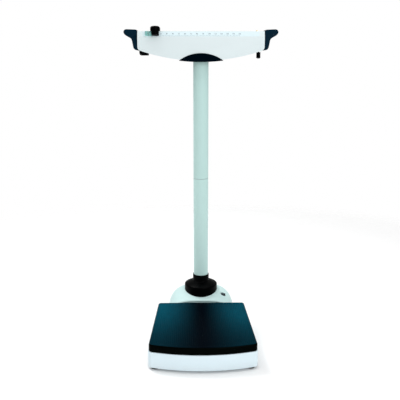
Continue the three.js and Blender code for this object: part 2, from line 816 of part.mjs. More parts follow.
/** The black saddle that joins the column to the head. */
function headSaddle() {
  const { halfDepth } = SADDLE;
  const body = panel(saddleOutline(), [COLUMN_Y - halfDepth, COLUMN_Y + halfDepth], 16);
  return cut(body, post(0, COLUMN_Y, TUBE.radius + GAP, [900, 960], 40));
}

/** The front half of the head's housing: a tray open at the top and at the back. */
function frontCover() {
  const { halfDepth, wall, topZ, bandZ, bandLean } = HEAD;
  const frontY = COLUMN_Y - halfDepth;
  const seamY = COLUMN_Y - GAP / 2;
  const outer = cut(panel(headOutline(0, topZ), [frontY, seamY], 10), bandRelief());
  const insideEnds = panel(headOutline(wall, topZ + 30), [frontY, seamY + 20], 10);
  const slope = bandLean / (topZ - bandZ);
  const insideFace = moulding(
    polygon([
      [frontY + wall, HEAD.bottomZ - 10],
      [seamY + 10, HEAD.bottomZ - 10],
      [seamY + 10, topZ + 10],
      [frontY + wall + slope * (topZ + 10 - bandZ), topZ + 10],
      [frontY + wall, bandZ],
    ]),
    [-HEAD.half, HEAD.half],
  );
  return cut(outer, insideEnds.intersect(insideFace), saddleRoom(), tareSlot(), lockHole());
}

/** The opening under the left end of the head through which the tare knob is reached. */
function tareSlot() {
  const { leftX, halfDepth, topZ, past } = TARE_SLOT;
  return block(
    [leftX, TARE_STUD_END_X + past],
    [COLUMN_Y - halfDepth, COLUMN_Y + halfDepth],
    [HEAD.bottomZ, topZ],
  );
}

/** The hole under the right end of the head for the lock knob. */
function lockHole() {
  return post(LOCK.x, COLUMN_Y, LOCK.radius + 1, [HEAD.bottomZ, 958], 24);
}

/** The same solid seen in a mirror that stands across the head's middle. */
function flippedFrontToBack(solid) {
  return solid.mirror([0, 1, 0]).translate([0, 2 * COLUMN_Y, 0]);
}

/** The hook-shaped grip that closes one end of the head. */
function endCap(side) {
  const inner = HEAD.half + GAP;
  const shape = new THREE.Shape();
  shape.moveTo(inner, 958);
  shape.lineTo(215, 958);
  shape.quadraticCurveTo(222, 960, 224, 968);
  shape.lineTo(227.5, 987);
  shape.quadraticCurveTo(228.5, 993, 233, 996.5);
  shape.lineTo(241, 1001);
  shape.quadraticCurveTo(254, 1007, 255.5, 1015.5);
  shape.quadraticCurveTo(255.5, 1023.5, 247, 1025);
  shape.lineTo(217, 1024);
  shape.quadraticCurveTo(inner, 1023, inner, 1017);
  const body = panel(shape, [COLUMN_Y - HEAD.halfDepth, COLUMN_Y + HEAD.halfDepth], 5);
  const relieved = cut(body, bandRelief(), flippedFrontToBack(bandRelief()));
  return side > 0 ? relieved : cut(relieved.mirror([1, 0, 0]), tareSlot());
}

/** The steel rail in the head, with the posts for the fulcrum, the stops and the index. */
function beamRail() {
  const { leftX, rightX, halfDepth, bottomZ, sheet } = RAIL;
  const top = bottomZ + sheet;
  const plate = block([leftX, rightX], [COLUMN_Y - halfDepth, COLUMN_Y + halfDepth], [bottomZ, top]);
  const posts = [-1, 1].map((side) =>
    block(
      [FULCRUM.x - FULCRUM_POST.half, FULCRUM.x + FULCRUM_POST.half],
      fulcrumSpan(side),
      [top - 1, bearingFloorZ],
    ),
  );
  const stops = [BEAM_STOP.leftX, BEAM_STOP.rightX].map((x) =>
    block(
      [x - BEAM_STOP.half, x + BEAM_STOP.half],
      [COLUMN_Y - BEAM_STOP.halfDepth, COLUMN_Y + BEAM_STOP.halfDepth],
      [top - 1, stopHeight(x)],
    ),
  );
  const index = block(
    [INDEX_POST.leftX, INDEX_POST.rightX],
    [INDEX_POST.frontY, INDEX_POST.rearY],
    [top - 1, INDEX_POST.topZ],
  );
  const rodHole = post(0, COLUMN_Y, RAIL.rodHoleRadius, [900, 1000], 20);
  const stemHole = post(LOCK.x, COLUMN_Y, LOCK.stemRadius + GAP, [900, 1000], 16);
  return cut(join(plate, ...posts, ...stops, index), rodHole, stemHole);
}

const BEAM_SWING = THREE.MathUtils.degToRad(2.3);
const bearingFloorZ = FULCRUM.z - KNIFE_HALF - GAP - FULCRUM_BLOCK.height;

/** The height of a stop that the beam's underside meets at the end of its swing. */
const stopHeight = (x) => BEAM.bottomZ - Math.abs(x - FULCRUM.x) * Math.sin(BEAM_SWING) - BEAM_STOP.clear;

/** Where the fulcrum's post and bearing stand, on one side of the beam. */
const fulcrumSpan = (side) => {
  const { near, far } = FULCRUM_POST;
  return side < 0 ? [COLUMN_Y - far, COLUMN_Y - near] : [COLUMN_Y + near, COLUMN_Y + far];
};

/** A bearing block that holds one end of the beam's fulcrum knife. */
function fulcrumBearing(side) {
  return block(
    [FULCRUM.x - FULCRUM_BLOCK.half, FULCRUM.x + FULCRUM_BLOCK.half],
    fulcrumSpan(side),
    [bearingFloorZ + GAP, FULCRUM.z - KNIFE_HALF - GAP],
  );
}

/** A screw head on the rear cover. */
function coverScrew(x) {
  const rearY = COLUMN_Y + HEAD.halfDepth + GAP;
  const { z, headRadius, head } = COVER_SCREW;
  const geometry = new THREE.CylinderGeometry(headRadius, headRadius + 0.8, head, 20);
  geometry.translate(x, rearY + head / 2, z);
  const socket = new THREE.CylinderGeometry(2, 2, head, 6);
  socket.translate(x, rearY + head / 2 + 1, z);
  return cut(solidOf(geometry), solidOf(socket));
}

// ---------------------------------------------------------------- beam

/** The main bar's outline, with its notches, its hub and the pointer at its right end. */
function beamOutline() {
  const { leftX, rightX, bottomZ, topZ, notchPitch, notchCount, notchDepth } = BEAM;
  const corners = [
    [leftX, bottomZ],
    [LOAD_PIVOT_X - HUB.left - HUB.shoulder, bottomZ],
    [LOAD_PIVOT_X - HUB.left, FULCRUM.z - HUB.drop],
    [FULCRUM.x + HUB.right, FULCRUM.z - HUB.drop],
    [FULCRUM.x + HUB.right + HUB.shoulder, bottomZ],
    [rightX, bottomZ],
    [rightX + 3, POINTER.stemBottomZ],
    [BEAM.pointerX, POINTER.stemBottomZ],
    [BEAM.pointerX, BEAM.pointerZ],
    [BEAM.pointerX - POINTER.width, BEAM.pointerZ - POINTER.slant],
    [BEAM.pointerX - POINTER.width, POINTER.stemTopZ],
    [rightX + 1, POINTER.stemTopZ],
    [rightX, topZ],
  ];
  for (let i = notchCount - 1; i >= 0; i--) {
    const x = POISE.x + i * notchPitch;
    corners.push([x + notchDepth, topZ], [x, topZ - notchDepth], [x - notchDepth, topZ]);
  }
  corners.push([leftX, topZ]);
  return polygon(corners);
}

/** The notched main bar with the fine bar behind it and the stud of the tare weight. */
function beam() {
  const half = BEAM.thickness / 2;
  const main = panel(beamOutline(), [COLUMN_Y - half, COLUMN_Y + half]);
  const fineSpan = [FINE_BAR.y - FINE_BAR.thickness / 2, FINE_BAR.y + FINE_BAR.thickness / 2];
  const fine = block([FINE_BAR.leftX, FINE_BAR.rightX], fineSpan, [FINE_BAR.bottomZ, FINE_BAR.topZ]);
  const yokes = [FINE_BAR.leftX, FINE_BAR.rightX - FINE_BAR.yoke].map((x) =>
    block([x, x + FINE_BAR.yoke], [COLUMN_Y, FINE_BAR.y], [BEAM.bottomZ, FINE_BAR.bottomZ + 1]),
  );
  const { leftX, rightX } = TARE_BRACKET;
  const bracket = block([leftX, rightX], [COLUMN_Y - half, COLUMN_Y + half], [TARE.z - 6, BEAM.bottomZ + 2]);
  const stud = shaft([TARE.knobLeft + 3, TARE_STUD_END_X], COLUMN_Y, TARE.z, TARE.studRadius, 12);
  const seats = [FULCRUM.x, LOAD_PIVOT_X].map((x) => beamKnifeSeat(x));
  return cut(join(main, fine, ...yokes, bracket, stud), ...seats);
}

/** The hole in the beam's hub for one of its knives. */
function beamKnifeSeat(x) {
  const geometry = new THREE.BoxGeometry(KNIFE + 2 * GAP, KNIFE + 2 * GAP, 60);
  geometry.rotateZ(Math.PI / 4);
  geometry.rotateX(Math.PI / 2);
  geometry.translate(x, COLUMN_Y, FULCRUM.z);
  return solidOf(geometry);
}

/** The large sliding weight: it straddles the bar and reaches over the rim of the head. */
function largePoise() {
  const { x, width, outerHalf, bottomZ, topZ, armZ, armHalf, plate: plateSheet } = POISE;
  const span = [x - width / 2, x + width / 2];
  const slotHalf = BEAM.thickness / 2 + POISE_SLACK;
  const bodySpan = [COLUMN_Y - outerHalf, COLUMN_Y + outerHalf];
  const straddle = cut(
    block(span, bodySpan, [bottomZ, topZ]),
    block(
      [x - width, x + width],
      [COLUMN_Y - slotHalf, COLUMN_Y + slotHalf],
      [bottomZ - 5, BEAM.topZ + POISE_SLACK],
    ),
  );
  const armSpan = [x - armHalf, x + armHalf];
  const arm = block(armSpan, [POISE_FRONT_Y, COLUMN_Y - outerHalf + 1], [armZ, topZ]);
  const plate = block(armSpan, [POISE_FRONT_Y, POISE_FRONT_Y + plateSheet], [WINDOW.bottomZ, topZ]);
  return join(straddle, arm, plate);
}

/** The grip of the large weight, flat where it meets its plate. */
function poiseKnob() {
  const { y, radius, neckRadius, bottomZ, neckZ, topZ } = POISE_KNOB;
  const profile = [
    [0, bottomZ],
    [neckRadius - 1.5, bottomZ],
    [neckRadius, bottomZ + 1.5],
    [neckRadius, neckZ],
    [radius, neckZ + 1.5],
    [radius, topZ - 7],
    [radius - 2, topZ - 3],
    [radius - 6, topZ - 0.6],
    [0, topZ],
  ];
  const rear = block([-200, -100], [POISE_FRONT_Y - GAP, POISE_FRONT_Y + 60], [980, 1060]);
  return cut(turned(profile, POISE.x, y, 32), rear);
}

/** The tinted reading window beside the grip. */
function readingWindow() {
  const { leftX, rightX, bottomZ, topZ, sheet } = WINDOW;
  return block([leftX, rightX], [POISE_FRONT_Y, POISE_FRONT_Y + sheet], [bottomZ, topZ]);
}

/** The small sliding weight on the fine bar. */
function finePoise() {
  const { x, width, outerHalf, bottomZ, topZ } = FINE_POISE;
  const slotHalf = FINE_BAR.thickness / 2 + POISE_SLACK;
  const bodySpan = [FINE_BAR.y - outerHalf, FINE_BAR.y + outerHalf];
  const body = block([x - width / 2, x + width / 2], bodySpan, [bottomZ, topZ]);
  const slot = block(
    [x - width, x + width],
    [FINE_BAR.y - slotHalf, FINE_BAR.y + slotHalf],
    [bottomZ - 5, FINE_BAR.topZ + POISE_SLACK],
  );
  return cut(body, slot);
}

/** The knurled knob that turns the tare screw. */
function tareKnob() {
  const { z, knobLeft, knobRight, radius, studRadius } = TARE;
  const bore = studRadius + GAP;
  const profile = [
    [bore, knobLeft],
    [radius - 6, knobLeft],
    [radius - 1.5, knobLeft + 3],
    [radius, knobLeft + 7],
    [radius, knobRight - 1],
    [radius - 1, knobRight],
    [bore, knobRight],
    [bore, knobLeft],
  ];
  return turnedAlongX(profile, COLUMN_Y, z, 24);
}

/** The small nut-like weight that travels when the tare knob is turned. */
function tareWeight() {
  const { leftX, rightX, radius } = TARE_WEIGHT;
  const profile = ring(TARE.studRadius + GAP, radius, leftX, rightX);
  return turnedAlongX(profile, COLUMN_Y, TARE.z, 20);
}

/** The push knob that locks the beam, with its stem. */
function lockKnob() {
  const { x, radius, bottomZ, topZ, stemRadius, stemTopZ } = LOCK;
  const profile = [
    [0, bottomZ],
    [radius - 3.5, bottomZ + 0.7],
    [radius - 0.8, bottomZ + 3.5],
    [radius, bottomZ + 7],
    [radius, topZ - 1],
    [radius - 1, topZ],
    [stemRadius, topZ],
    [stemRadius, stemTopZ],
    [0, stemTopZ],
  ];
  return turned(profile, x, COLUMN_Y, 24);
}

// ---------------------------------------------------------------- assembly

const scale = new THREE.Group();
scale.name = 'column_scale';

/** Adds a named piece to a group. */
function add(group, name, solid, finish) {
  const mesh = new THREE.Mesh(geometryOf(solid), finish);
  mesh.name = name;
  group.add(mesh);
}

const sideNames = { left: -1, right: 1 };
const faceNames = { front: -1, rear: 1 };

function addBase(group) {
  add(group, 'base_pan', basePan(), FINISH.whiteShell);
  add(group, 'column_housing', columnHousing(), FINISH.whiteShell);
  add(group, 'column_bracket', columnBracket(), FINISH.zinc);
  add(group, 'spirit_level_cup', spiritLevelCup(), FINISH.black);
  add(group, 'spirit_level_vial', spiritLevelVial(), FINISH.clear);
  for (const [place, position] of Object.entries(feetPlaces)) {
    add(group, `levelling_foot_${place}`, levellingFoot(position), FINISH.black);
  }
  for (const [name, side] of Object.entries(sideNames)) {
    add(group, `castor_wheel_${name}`, castorWheel(side), FINISH.black);
    add(group, `castor_axle_${name}`, castorAxle(side), FINISH.steel);
    add(group, `long_lever_stand_${name}`, leverStand(LONG_LEVER, side), FINISH.steel);
    add(group, `short_lever_stand_${name}`, leverStand(SHORT_LEVER, side), FINISH.steel);
  }
}

function addLeverTrain(group) {
  const levers = {
    long_lever: [LONG_LEVER, aFrameLever(LONG_LEVER, 9, LONG_LEVER.crossY)],
    short_lever: [SHORT_LEVER, aFrameLever(SHORT_LEVER, 8, SHORT_LEVER.loadY - 30)],
  };
  for (const [leverName, [lever, solid]] of Object.entries(levers)) {
    add(group, leverName, solid, FINISH.castIron);
    for (const [name, side] of Object.entries(sideNames)) {
      const fulcrum = leverKnife(lever, side, lever.fulcrumY);
      const load = leverKnife(lever, side, lever.loadY);
      add(group, `${leverName}_fulcrum_knife_${name}`, fulcrum, FINISH.steel);
      add(group, `${leverName}_load_knife_${name}`, load, FINISH.steel);
    }
  }
  add(group, 'lever_link', leverLink(), FINISH.steel);
  add(group, 'pull_rod', pullRod(), FINISH.zinc);
}

function addPlatform(group) {
  add(group, 'platform_mat', platformMat(), FINISH.rubber);
  add(group, 'platform_plate', platformPlate(), FINISH.zinc);
  for (const [name, side] of Object.entries(sideNames)) {
    add(group, `platform_bearing_front_${name}`, platformBearing(LONG_LEVER, side), FINISH.steel);
    add(group, `platform_bearing_rear_${name}`, platformBearing(SHORT_LEVER, side), FINISH.steel);
  }
}

function addColumn(group) {
  const seamHalf = SLEEVE.ring / 2 + GAP;
  add(group, 'column_foot', columnFoot(), FINISH.black);
  add(group, 'lower_tube', columnTube(TUBE.bottomZ, TUBE.seamZ - seamHalf), FINISH.tube);
  add(group, 'upper_tube', columnTube(TUBE.seamZ + seamHalf, TUBE.topZ), FINISH.tube);
  add(group, 'coupling_sleeve', couplingSleeve(), FINISH.zinc);
}

function addHead(group) {
  const front = frontCover();
  add(group, 'head_saddle', headSaddle(), FINISH.black);
  add(group, 'head_front_cover', front, FINISH.whiteShell);
  add(group, 'head_rear_cover', flippedFrontToBack(front), FINISH.whiteShell);
  add(group, 'beam_rail', beamRail(), FINISH.zinc);
  for (const [name, side] of Object.entries(sideNames)) {
    add(group, `end_cap_${name}`, endCap(side), FINISH.cap);
    add(group, `cover_screw_${name}`, coverScrew(side * COVER_SCREW.x), FINISH.steel);
  }
  for (const [name, side] of Object.entries(faceNames)) {
    add(group, `fulcrum_bearing_${name}`, fulcrumBearing(side), FINISH.steel);
  }
}

function addBeam(group) {
  const reach = 28;
  const loadReach = BEAM.thickness / 2 + 13;
  const fulcrumKnife = knife('y', [COLUMN_Y - reach, COLUMN_Y + reach], FULCRUM.x, FULCRUM.z);
  const loadKnife = knife('y', [COLUMN_Y - loadReach, COLUMN_Y + loadReach], LOAD_PIVOT_X, FULCRUM.z);
  add(group, 'beam', beam(), FINISH.brass);
  add(group, 'beam_fulcrum_knife', fulcrumKnife, FINISH.steel);
  add(group, 'beam_load_knife', loadKnife, FINISH.steel);
  add(group, 'large_poise', largePoise(), FINISH.black);
  add(group, 'poise_knob', poiseKnob(), FINISH.black);
  add(group, 'reading_window', readingWindow(), FINISH.window);
  add(group, 'fine_poise', finePoise(), FINISH.brass);
  add(group, 'tare_knob', tareKnob(), FINISH.black);
  add(group, 'tare_weight', tareWeight(), FINISH.brass);
  add(group, 'lock_knob', lockKnob(), FINISH.black);
}

[addBase, addLeverTrain, addPlatform, addColumn, addHead, addBeam].forEach((build) => build(scale));

export default scale;
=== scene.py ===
"""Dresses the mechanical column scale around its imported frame.

Every length is in metres, in the frame's own axes: +Z up, +X to the right of the person who
reads the beam, +Y to the back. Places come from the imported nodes' boxes.
"""

import logging
import math
from collections.abc import Callable
from dataclasses import dataclass
from enum import Enum

import bmesh
import bpy
from mathutils import Matrix, Vector


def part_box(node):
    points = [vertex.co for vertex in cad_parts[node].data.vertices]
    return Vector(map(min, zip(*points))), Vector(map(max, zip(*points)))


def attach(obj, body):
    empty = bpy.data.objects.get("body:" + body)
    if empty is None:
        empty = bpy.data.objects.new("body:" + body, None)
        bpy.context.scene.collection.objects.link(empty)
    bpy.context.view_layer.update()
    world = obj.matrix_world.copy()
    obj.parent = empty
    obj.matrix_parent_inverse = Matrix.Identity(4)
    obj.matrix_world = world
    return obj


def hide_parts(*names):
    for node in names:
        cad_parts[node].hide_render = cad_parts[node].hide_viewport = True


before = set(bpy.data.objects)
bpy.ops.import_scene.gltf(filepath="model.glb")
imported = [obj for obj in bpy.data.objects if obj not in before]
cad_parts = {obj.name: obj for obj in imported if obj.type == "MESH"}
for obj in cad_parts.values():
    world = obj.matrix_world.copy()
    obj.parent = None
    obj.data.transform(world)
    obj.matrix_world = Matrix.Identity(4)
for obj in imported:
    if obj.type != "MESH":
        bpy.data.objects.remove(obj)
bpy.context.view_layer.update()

log = logging.getLogger("column_scale")

Colour = tuple[float, float, float]
Profile = list[tuple[float, float]]

MM = 0.001
GAP = 0.3 * MM  # air between pieces that rest on each other
MERGE = 0.01 * MM  # points closer than this are one
SAME_PLACE = 1e-6  # coordinates closer than this are equal
FLAT_ANGLE = 0.5  # degrees between loose triangles that lie in one flat face
SMALLEST_CORNER = 0.2 * MM
CUTTER_EDGE = 0.1 * MM  # rounding of a round cutter's rims
CUT_PAST = 5 * MM  # how far a cutter runs past what it cuts
BEVEL_PROFILE = 0.5
ANY_MATERIAL = -1


# ------------------------------------------------------------------ shader expressions


class Signal:
    """A number on a shader socket, with the arithmetic operators that add Math nodes."""

    def __init__(self, graph: "Graph", socket: bpy.types.NodeSocket) -> None:
        """Holds the socket and the graph that it belongs to."""
        self.graph = graph
        self.socket = socket

    def _math(self, operation: str, first: object, second: object = 0.0) -> "Signal":
        """Adds one Math node.

        Args:
            operation: The Math node's operation.
            first: A Signal or a number.
            second: A Signal or a number.

        Returns:
            The node's result.
        """
        node = self.graph.node("ShaderNodeMath", {"operation": operation}, {0: first, 1: second})
        return Signal(self.graph, node.outputs[0])

    def __add__(self, other: object) -> "Signal":
        """Sum."""
        return self._math("ADD", self, other)

    __radd__ = __add__

    def __sub__(self, other: object) -> "Signal":
        """Difference."""
        return self._math("SUBTRACT", self, other)

    def __rsub__(self, other: object) -> "Signal":
        """Difference with the number on the left."""
        return self._math("SUBTRACT", other, self)

    def __mul__(self, other: object) -> "Signal":
        """Product."""
        return self._math("MULTIPLY", self, other)

    __rmul__ = __mul__

    def __truediv__(self, other: object) -> "Signal":
        """Quotient."""
        return self._math("DIVIDE", self, other)

    def __lt__(self, other: object) -> "Signal":
        """One where the signal is below the other value."""
        return self._math("LESS_THAN", self, other)

    def __gt__(self, other: object) -> "Signal":
        """One where the signal is above the other value."""
        return self._math("GREATER_THAN", self, other)

    def fraction(self) -> "Signal":
        """The part after the point, for patterns that repeat."""
        return self._math("FRACT", self)

    def absolute(self) -> "Signal":
        """The distance from zero."""
        return self._math("ABSOLUTE", self)

    def smooth_step(self, low: float, high: float) -> "Signal":
        """A soft ramp from 0 at `low` to 1 at `high`.

        Args:
            low: Where the ramp starts.
            high: Where the ramp ends.

        Returns:
            The ramp, held at 0 and 1 outside it.
        """
        settings = {"interpolation_type": "SMOOTHSTEP"}
        ends = {"Value": self, "From Min": low, "From Max": high}
        node = self.graph.node("ShaderNodeMapRange", settings, ends)
        return Signal(self.graph, node.outputs["Result"])


class Graph:
    """The node tree of a material or a world, with a single method that adds any node."""

    def __init__(self, owner: bpy.types.Material | bpy.types.World) -> None:
        """Starts an empty tree.

        Args:
            owner: The new material or world.
        """
        owner.use_nodes = True
        self.owner = owner
        self.tree = owner.node_tree
        self.tree.nodes.clear()

    def node(self, kind: str, settings: dict | None = None, inputs: dict | None = None) -> bpy.types.Node:
        """Adds a node.

        Args:
            kind: The node's type.
            settings: Its properties, set before its sockets.
            inputs: Socket name or number to a value, a Signal or another socket.

        Returns:
            The new node.
        """
        made = self.tree.nodes.new(kind)
        for key, value in (settings or {}).items():
            setattr(made, key, value)
        for key, value in (inputs or {}).items():
            if isinstance(value, Signal):
                value = value.socket
            if isinstance(value, bpy.types.NodeSocket):
                self.tree.links.new(value, made.inputs[key])
            else:
                made.inputs[key].default_value = value
        return made

    def place(self) -> bpy.types.NodeSocket:
        """Object coordinates, which are the frame's own metres."""
        return self.node("ShaderNodeTexCoord").outputs["Object"]

    def axes(self) -> tuple[Signal, Signal, Signal]:
        """The object coordinates as three signals."""
        split = self.node("ShaderNodeSeparateXYZ", inputs={0: self.place()})
        return tuple(Signal(self, socket) for socket in split.outputs)

    def noise(self, scale: float, detail: float = 3.0, stretch: Colour = (1.0, 1.0, 1.0)) -> Signal:
        """A noise between 0 and 1.

        Args:
            scale: Features per metre.
            detail: Octaves.
            stretch: How much denser the noise is along each axis.

        Returns:
            The noise's value.
        """
        mapped = self.node("ShaderNodeMapping", inputs={"Vector": self.place(), "Scale": stretch})
        made = self.node(
            "ShaderNodeTexNoise",
            inputs={"Vector": mapped.outputs[0], "Scale": scale, "Detail": detail},
        )
        return Signal(self, made.outputs["Fac"])

    def blend(self, share: object, first: object, second: object) -> bpy.types.NodeSocket:
        """Mixes two colours.

        Args:
            share: How much of the second colour shows.
            first: A colour or a colour socket.
            second: A colour or a colour socket.

        Returns:
            The mixed colour's socket.
        """
        def opaque(value: object) -> object:
            """Adds the alpha that a colour socket needs."""
            return (*value, 1.0) if isinstance(value, tuple) else value

        settings = {"data_type": "RGBA", "clamp_factor": True}
        made = self.node("ShaderNodeMix", settings, {0: share, 6: opaque(first), 7: opaque(second)})
        return made.outputs[2]

    def bump(self, height: Signal, depth: float, strength: float = 1.0) -> bpy.types.NodeSocket:
        """A normal bent by a height.

        Args:
            height: The height, 0 to 1.
            depth: The height of 1, in metres.
            strength: How far the normal follows it.

        Returns:
            The normal's socket.
        """
        inputs = {"Height": height, "Distance": depth, "Strength": strength}
        return self.node("ShaderNodeBump", inputs=inputs).outputs[0]

    def finish(self, inputs: dict) -> bpy.types.Material:
        """Adds the shader and the output.

        Args:
            inputs: The shader's socket values and links.

        Returns:
            The finished material.
        """
        shader = self.node("ShaderNodeBsdfPrincipled", inputs=inputs)
        self.node("ShaderNodeOutputMaterial", inputs={0: shader.outputs[0]})
        return self.owner


# ------------------------------------------------------------------ finishes


@dataclass(frozen=True)
class Finish:
    """A surface with soft colour drift, uneven gloss and a fine grain."""

    name: str
    colour: Colour
    roughness: float
    metallic: float = 0.0
    drift: float = 0.05  # how far the colour wanders
    drift_scale: float = 14.0
    gloss_drift: float = 0.08
    grain_scale: float = 900.0
    grain_depth: float = 0.03 * MM
    grain_stretch: Colour = (1.0, 1.0, 1.0)
    specular: float = 0.5

    def base(self, graph: Graph) -> bpy.types.NodeSocket:
        """The surface's colour.

        Args:
            graph: The material being made.

        Returns:
            The colour's socket.
        """
        darker = tuple(channel * (1.0 - self.drift) for channel in self.colour)
        lighter = tuple(min(1.0, channel * (1.0 + self.drift)) for channel in self.colour)
        return graph.blend(graph.noise(self.drift_scale), darker, lighter)

    def gloss(self, graph: Graph) -> Signal:
        """The surface's roughness, a little uneven."""
        wander = graph.noise(self.drift_scale * 3.0) - 0.5
        return wander * (2.0 * self.gloss_drift) + self.roughness

    def normal(self, graph: Graph) -> bpy.types.NodeSocket:
        """The surface's grain."""
        grain = graph.noise(self.grain_scale, 2.0, self.grain_stretch)
        return graph.bump(grain, self.grain_depth)

    def material(self) -> bpy.types.Material:
        """Makes the material once and hands it out after that."""
        return bpy.data.materials.get(f"{self.name}_finish") or self._make()

    def _graph(self) -> Graph:
        """The empty node tree of a new material."""
        return Graph(bpy.data.materials.new(f"{self.name}_finish"))

    def _make(self) -> bpy.types.Material:
        """Builds the material's nodes."""
        graph = self._graph()
        return graph.finish(
            {
                "Base Color": self.base(graph),
                "Roughness": self.gloss(graph),
                "Metallic": self.metallic,
                "Normal": self.normal(graph),
                "Specular IOR Level": self.specular,
            }
        )


@dataclass(frozen=True)
class DustedFinish(Finish):
    """A finish that is a little greyer low down, towards the floor."""

    dust: Colour = (0.62, 0.62, 0.6)
    dust_from: float = 0.006  # full up to here
    dust_height: float = 0.035
    dust_share: float = 0.22
    dust_scale: float = 60.0

    def base(self, graph: Graph) -> bpy.types.NodeSocket:
        """The colour, with a grey that fades upwards and is broken up by noise.

        Args:
            graph: The material being made.

        Returns:
            The colour's socket.
        """
        clean = Finish.base(self, graph)
        _, _, z = graph.axes()
        low = 1.0 - z.smooth_step(self.dust_from, self.dust_height)
        share = low * graph.noise(self.dust_scale) * self.dust_share
        return graph.blend(share, clean, self.dust)


@dataclass(frozen=True)
class MatRubber(Finish):
    """Dark rubber, black along the middle and darker at the front, with a painted teal sheen that grows
    towards its rear corners.
    """

    # painted sheen: the teal reflection on the rubber, laid into its colour
    bloom: Colour = (0.001, 0.068, 0.105)
    half: float = 0.15  # where the painted sheen is full, out from the middle
    front: float = -0.25
    length: float = 0.34
    floor_share: float = 0.22  # share of the painted sheen that is left along the front
    mottle: float = 0.4
    mottle_scale: float = 40.0

    def base(self, graph: Graph) -> bpy.types.NodeSocket:
        """The colour, with a painted sheen that grows outwards and to the rear.

        Args:
            graph: The material being made.

        Returns:
            The colour's socket.
        """
        bare_rubber = Finish.base(self, graph)
        x, y, _ = graph.axes()
        outward = (x.absolute() / self.half).smooth_step(0.0, 1.0)
        along = ((y - self.front) / self.length).smooth_step(0.0, 1.0)
        share = outward * (along * (1.0 - self.floor_share) + self.floor_share)
        mottled = graph.noise(self.mottle_scale) * self.mottle + (1.0 - self.mottle / 2)
        # lays the painted teal sheen over the rubber's own dark colour
        return graph.blend(share * mottled, bare_rubber, self.bloom)


@dataclass(frozen=True)
class RuledFinish(Finish):
    """A finish with printed or engraved divisions along X between two heights."""

    ink: Colour = (0.14, 0.2, 0.24)
    zero: float = 0.0
    step: float = 2.0 * MM
    line: float = 0.35 * MM
    long_every: int = 5
    short_top: float = 0.0
    long_top: float = 0.0
    foot: float = 0.0
    start: float = -1.0
    stop: float = 1.0

    def base(self, graph: Graph) -> bpy.types.NodeSocket:
        """The colour with short lines at each step and long ones at each few steps.

        Args:
            graph: The material being made.

        Returns:
            The colour's socket.
        """
        ground = Finish.base(self, graph)
        x, _, z = graph.axes()
        inside = (x > self.start) * (x < self.stop) * (z > self.foot)
        short = self._lines(x, self.step) * (z < self.short_top)
        long = self._lines(x, self.step * self.long_every) * (z < self.long_top)
        ink = (short + long) * inside
        return graph.blend(ink, ground, self.ink)

    def _lines(self, x: Signal, pitch: float) -> Signal:
        """One on each line of a ruled pattern.

        Args:
            x: The place along the ruler.
            pitch: The distance between lines.

        Returns:
            The pattern.
        """
        phase = ((x - self.zero) / pitch + 0.5).fraction() - 0.5
        return phase.absolute() < self.line / (2.0 * pitch)


@dataclass(frozen=True)
class FadingFinish(Finish):
    """A floor that fades into the backdrop away from the scale."""

    fade_from: float = 1.5
    fade_to: float = 2.1

    def _make(self) -> bpy.types.Material:
        """Builds a material that is clear past the fade."""
        graph = self._graph()
        x, y, _ = graph.axes()
        spread = x * x + y * y
        return graph.finish(
            {
                "Base Color": self.base(graph),
                "Roughness": self.gloss(graph),
                "Alpha": 1.0 - spread.smooth_step(self.fade_from**2, self.fade_to**2),
                "Specular IOR Level": self.specular,
                "Normal": self.normal(graph),
            }
        )


@dataclass(frozen=True)
class ClearFinish(Finish):
    """Tinted clear plastic or glass with a smudged surface."""

    alpha: float = 0.45
    ior: float = 1.49
    smudge_scale: float = 90.0
    smudge_gloss: float = 0.15
    smudge_alpha: float = 0.1

    def _make(self) -> bpy.types.Material:
        """Builds a see-through material."""
        graph = self._graph()
        smudge = graph.noise(self.smudge_scale)
        return graph.finish(
            {
                "Base Color": self.base(graph),
                "Roughness": smudge * self.smudge_gloss + self.roughness,
                "Alpha": smudge * self.smudge_alpha + self.alpha,
                "IOR": self.ior,
                "Normal": self.normal(graph),
            }
        )


WHITE_SHELL = Finish(
    "white_shell", (0.83, 0.93, 0.95), 0.42, drift=0.012, specular=0.2, grain_depth=0.012 * MM
)
# painted shade: the head's white plastic made darker and greener for the domed housing, to dim its
# brightly lit surface
HOUSING_WHITE_SHADED = Finish(
    "housing_white_shaded", (0.58, 0.77, 0.76), 0.42, drift=0.012, specular=0.1, grain_depth=0.012 * MM
)
WHITE_CASE = DustedFinish("white_case", (0.74, 0.87, 0.93), 0.42, drift=0.012, specular=0.2)
TUBE_METAL = Finish(
    "tube_metal",
    (0.57, 0.8, 0.77),
    0.4,
    specular=0.2,
    drift=0.03,
    grain_scale=2200.0,
    grain_stretch=(1.0, 1.0, 0.02),
    grain_depth=0.02 * MM,
)
BLACK_PLASTIC = Finish(
    "black_plastic", (0.0006, 0.0008, 0.001), 0.3, drift=0.25, specular=0.02, grain_scale=1500.0
)
# dark teal plastic with a painted reflection: the teal stands partly for the sky seen in the grips' gloss
CAP_PLASTIC = Finish(
    "cap_plastic", (0.0018, 0.015, 0.03), 0.3, drift=0.2, specular=0.02, grain_depth=0.015 * MM
)
SADDLE_PLASTIC = Finish("saddle_plastic", (0.0001, 0.003, 0.0065), 0.5, drift=0.2, specular=0.0)
FOOT_RUBBER = Finish(
    "foot_rubber", (0.006, 0.006, 0.007), 0.75, drift=0.3, specular=0.1, grain_depth=0.05 * MM
)
MAT_RUBBER = MatRubber(
    "mat_rubber", (0.0001, 0.0016, 0.004), 0.4, drift=0.2, specular=0.006, grain_scale=700.0
)
SKIRT_RUBBER = Finish(
    "skirt_rubber", (0.0001, 0.0008, 0.0005), 0.2, drift=0.3, specular=0.015, grain_scale=700.0
)
CASTOR_RUBBER = Finish("castor_rubber", (0.02, 0.02, 0.022), 0.6, drift=0.3, grain_depth=0.05 * MM)
LEVER_IRON = Finish(
    "lever_iron", (0.05, 0.055, 0.06), 0.6,
    metallic=0.2, drift=0.3, grain_depth=0.2 * MM, grain_scale=400.0,
)
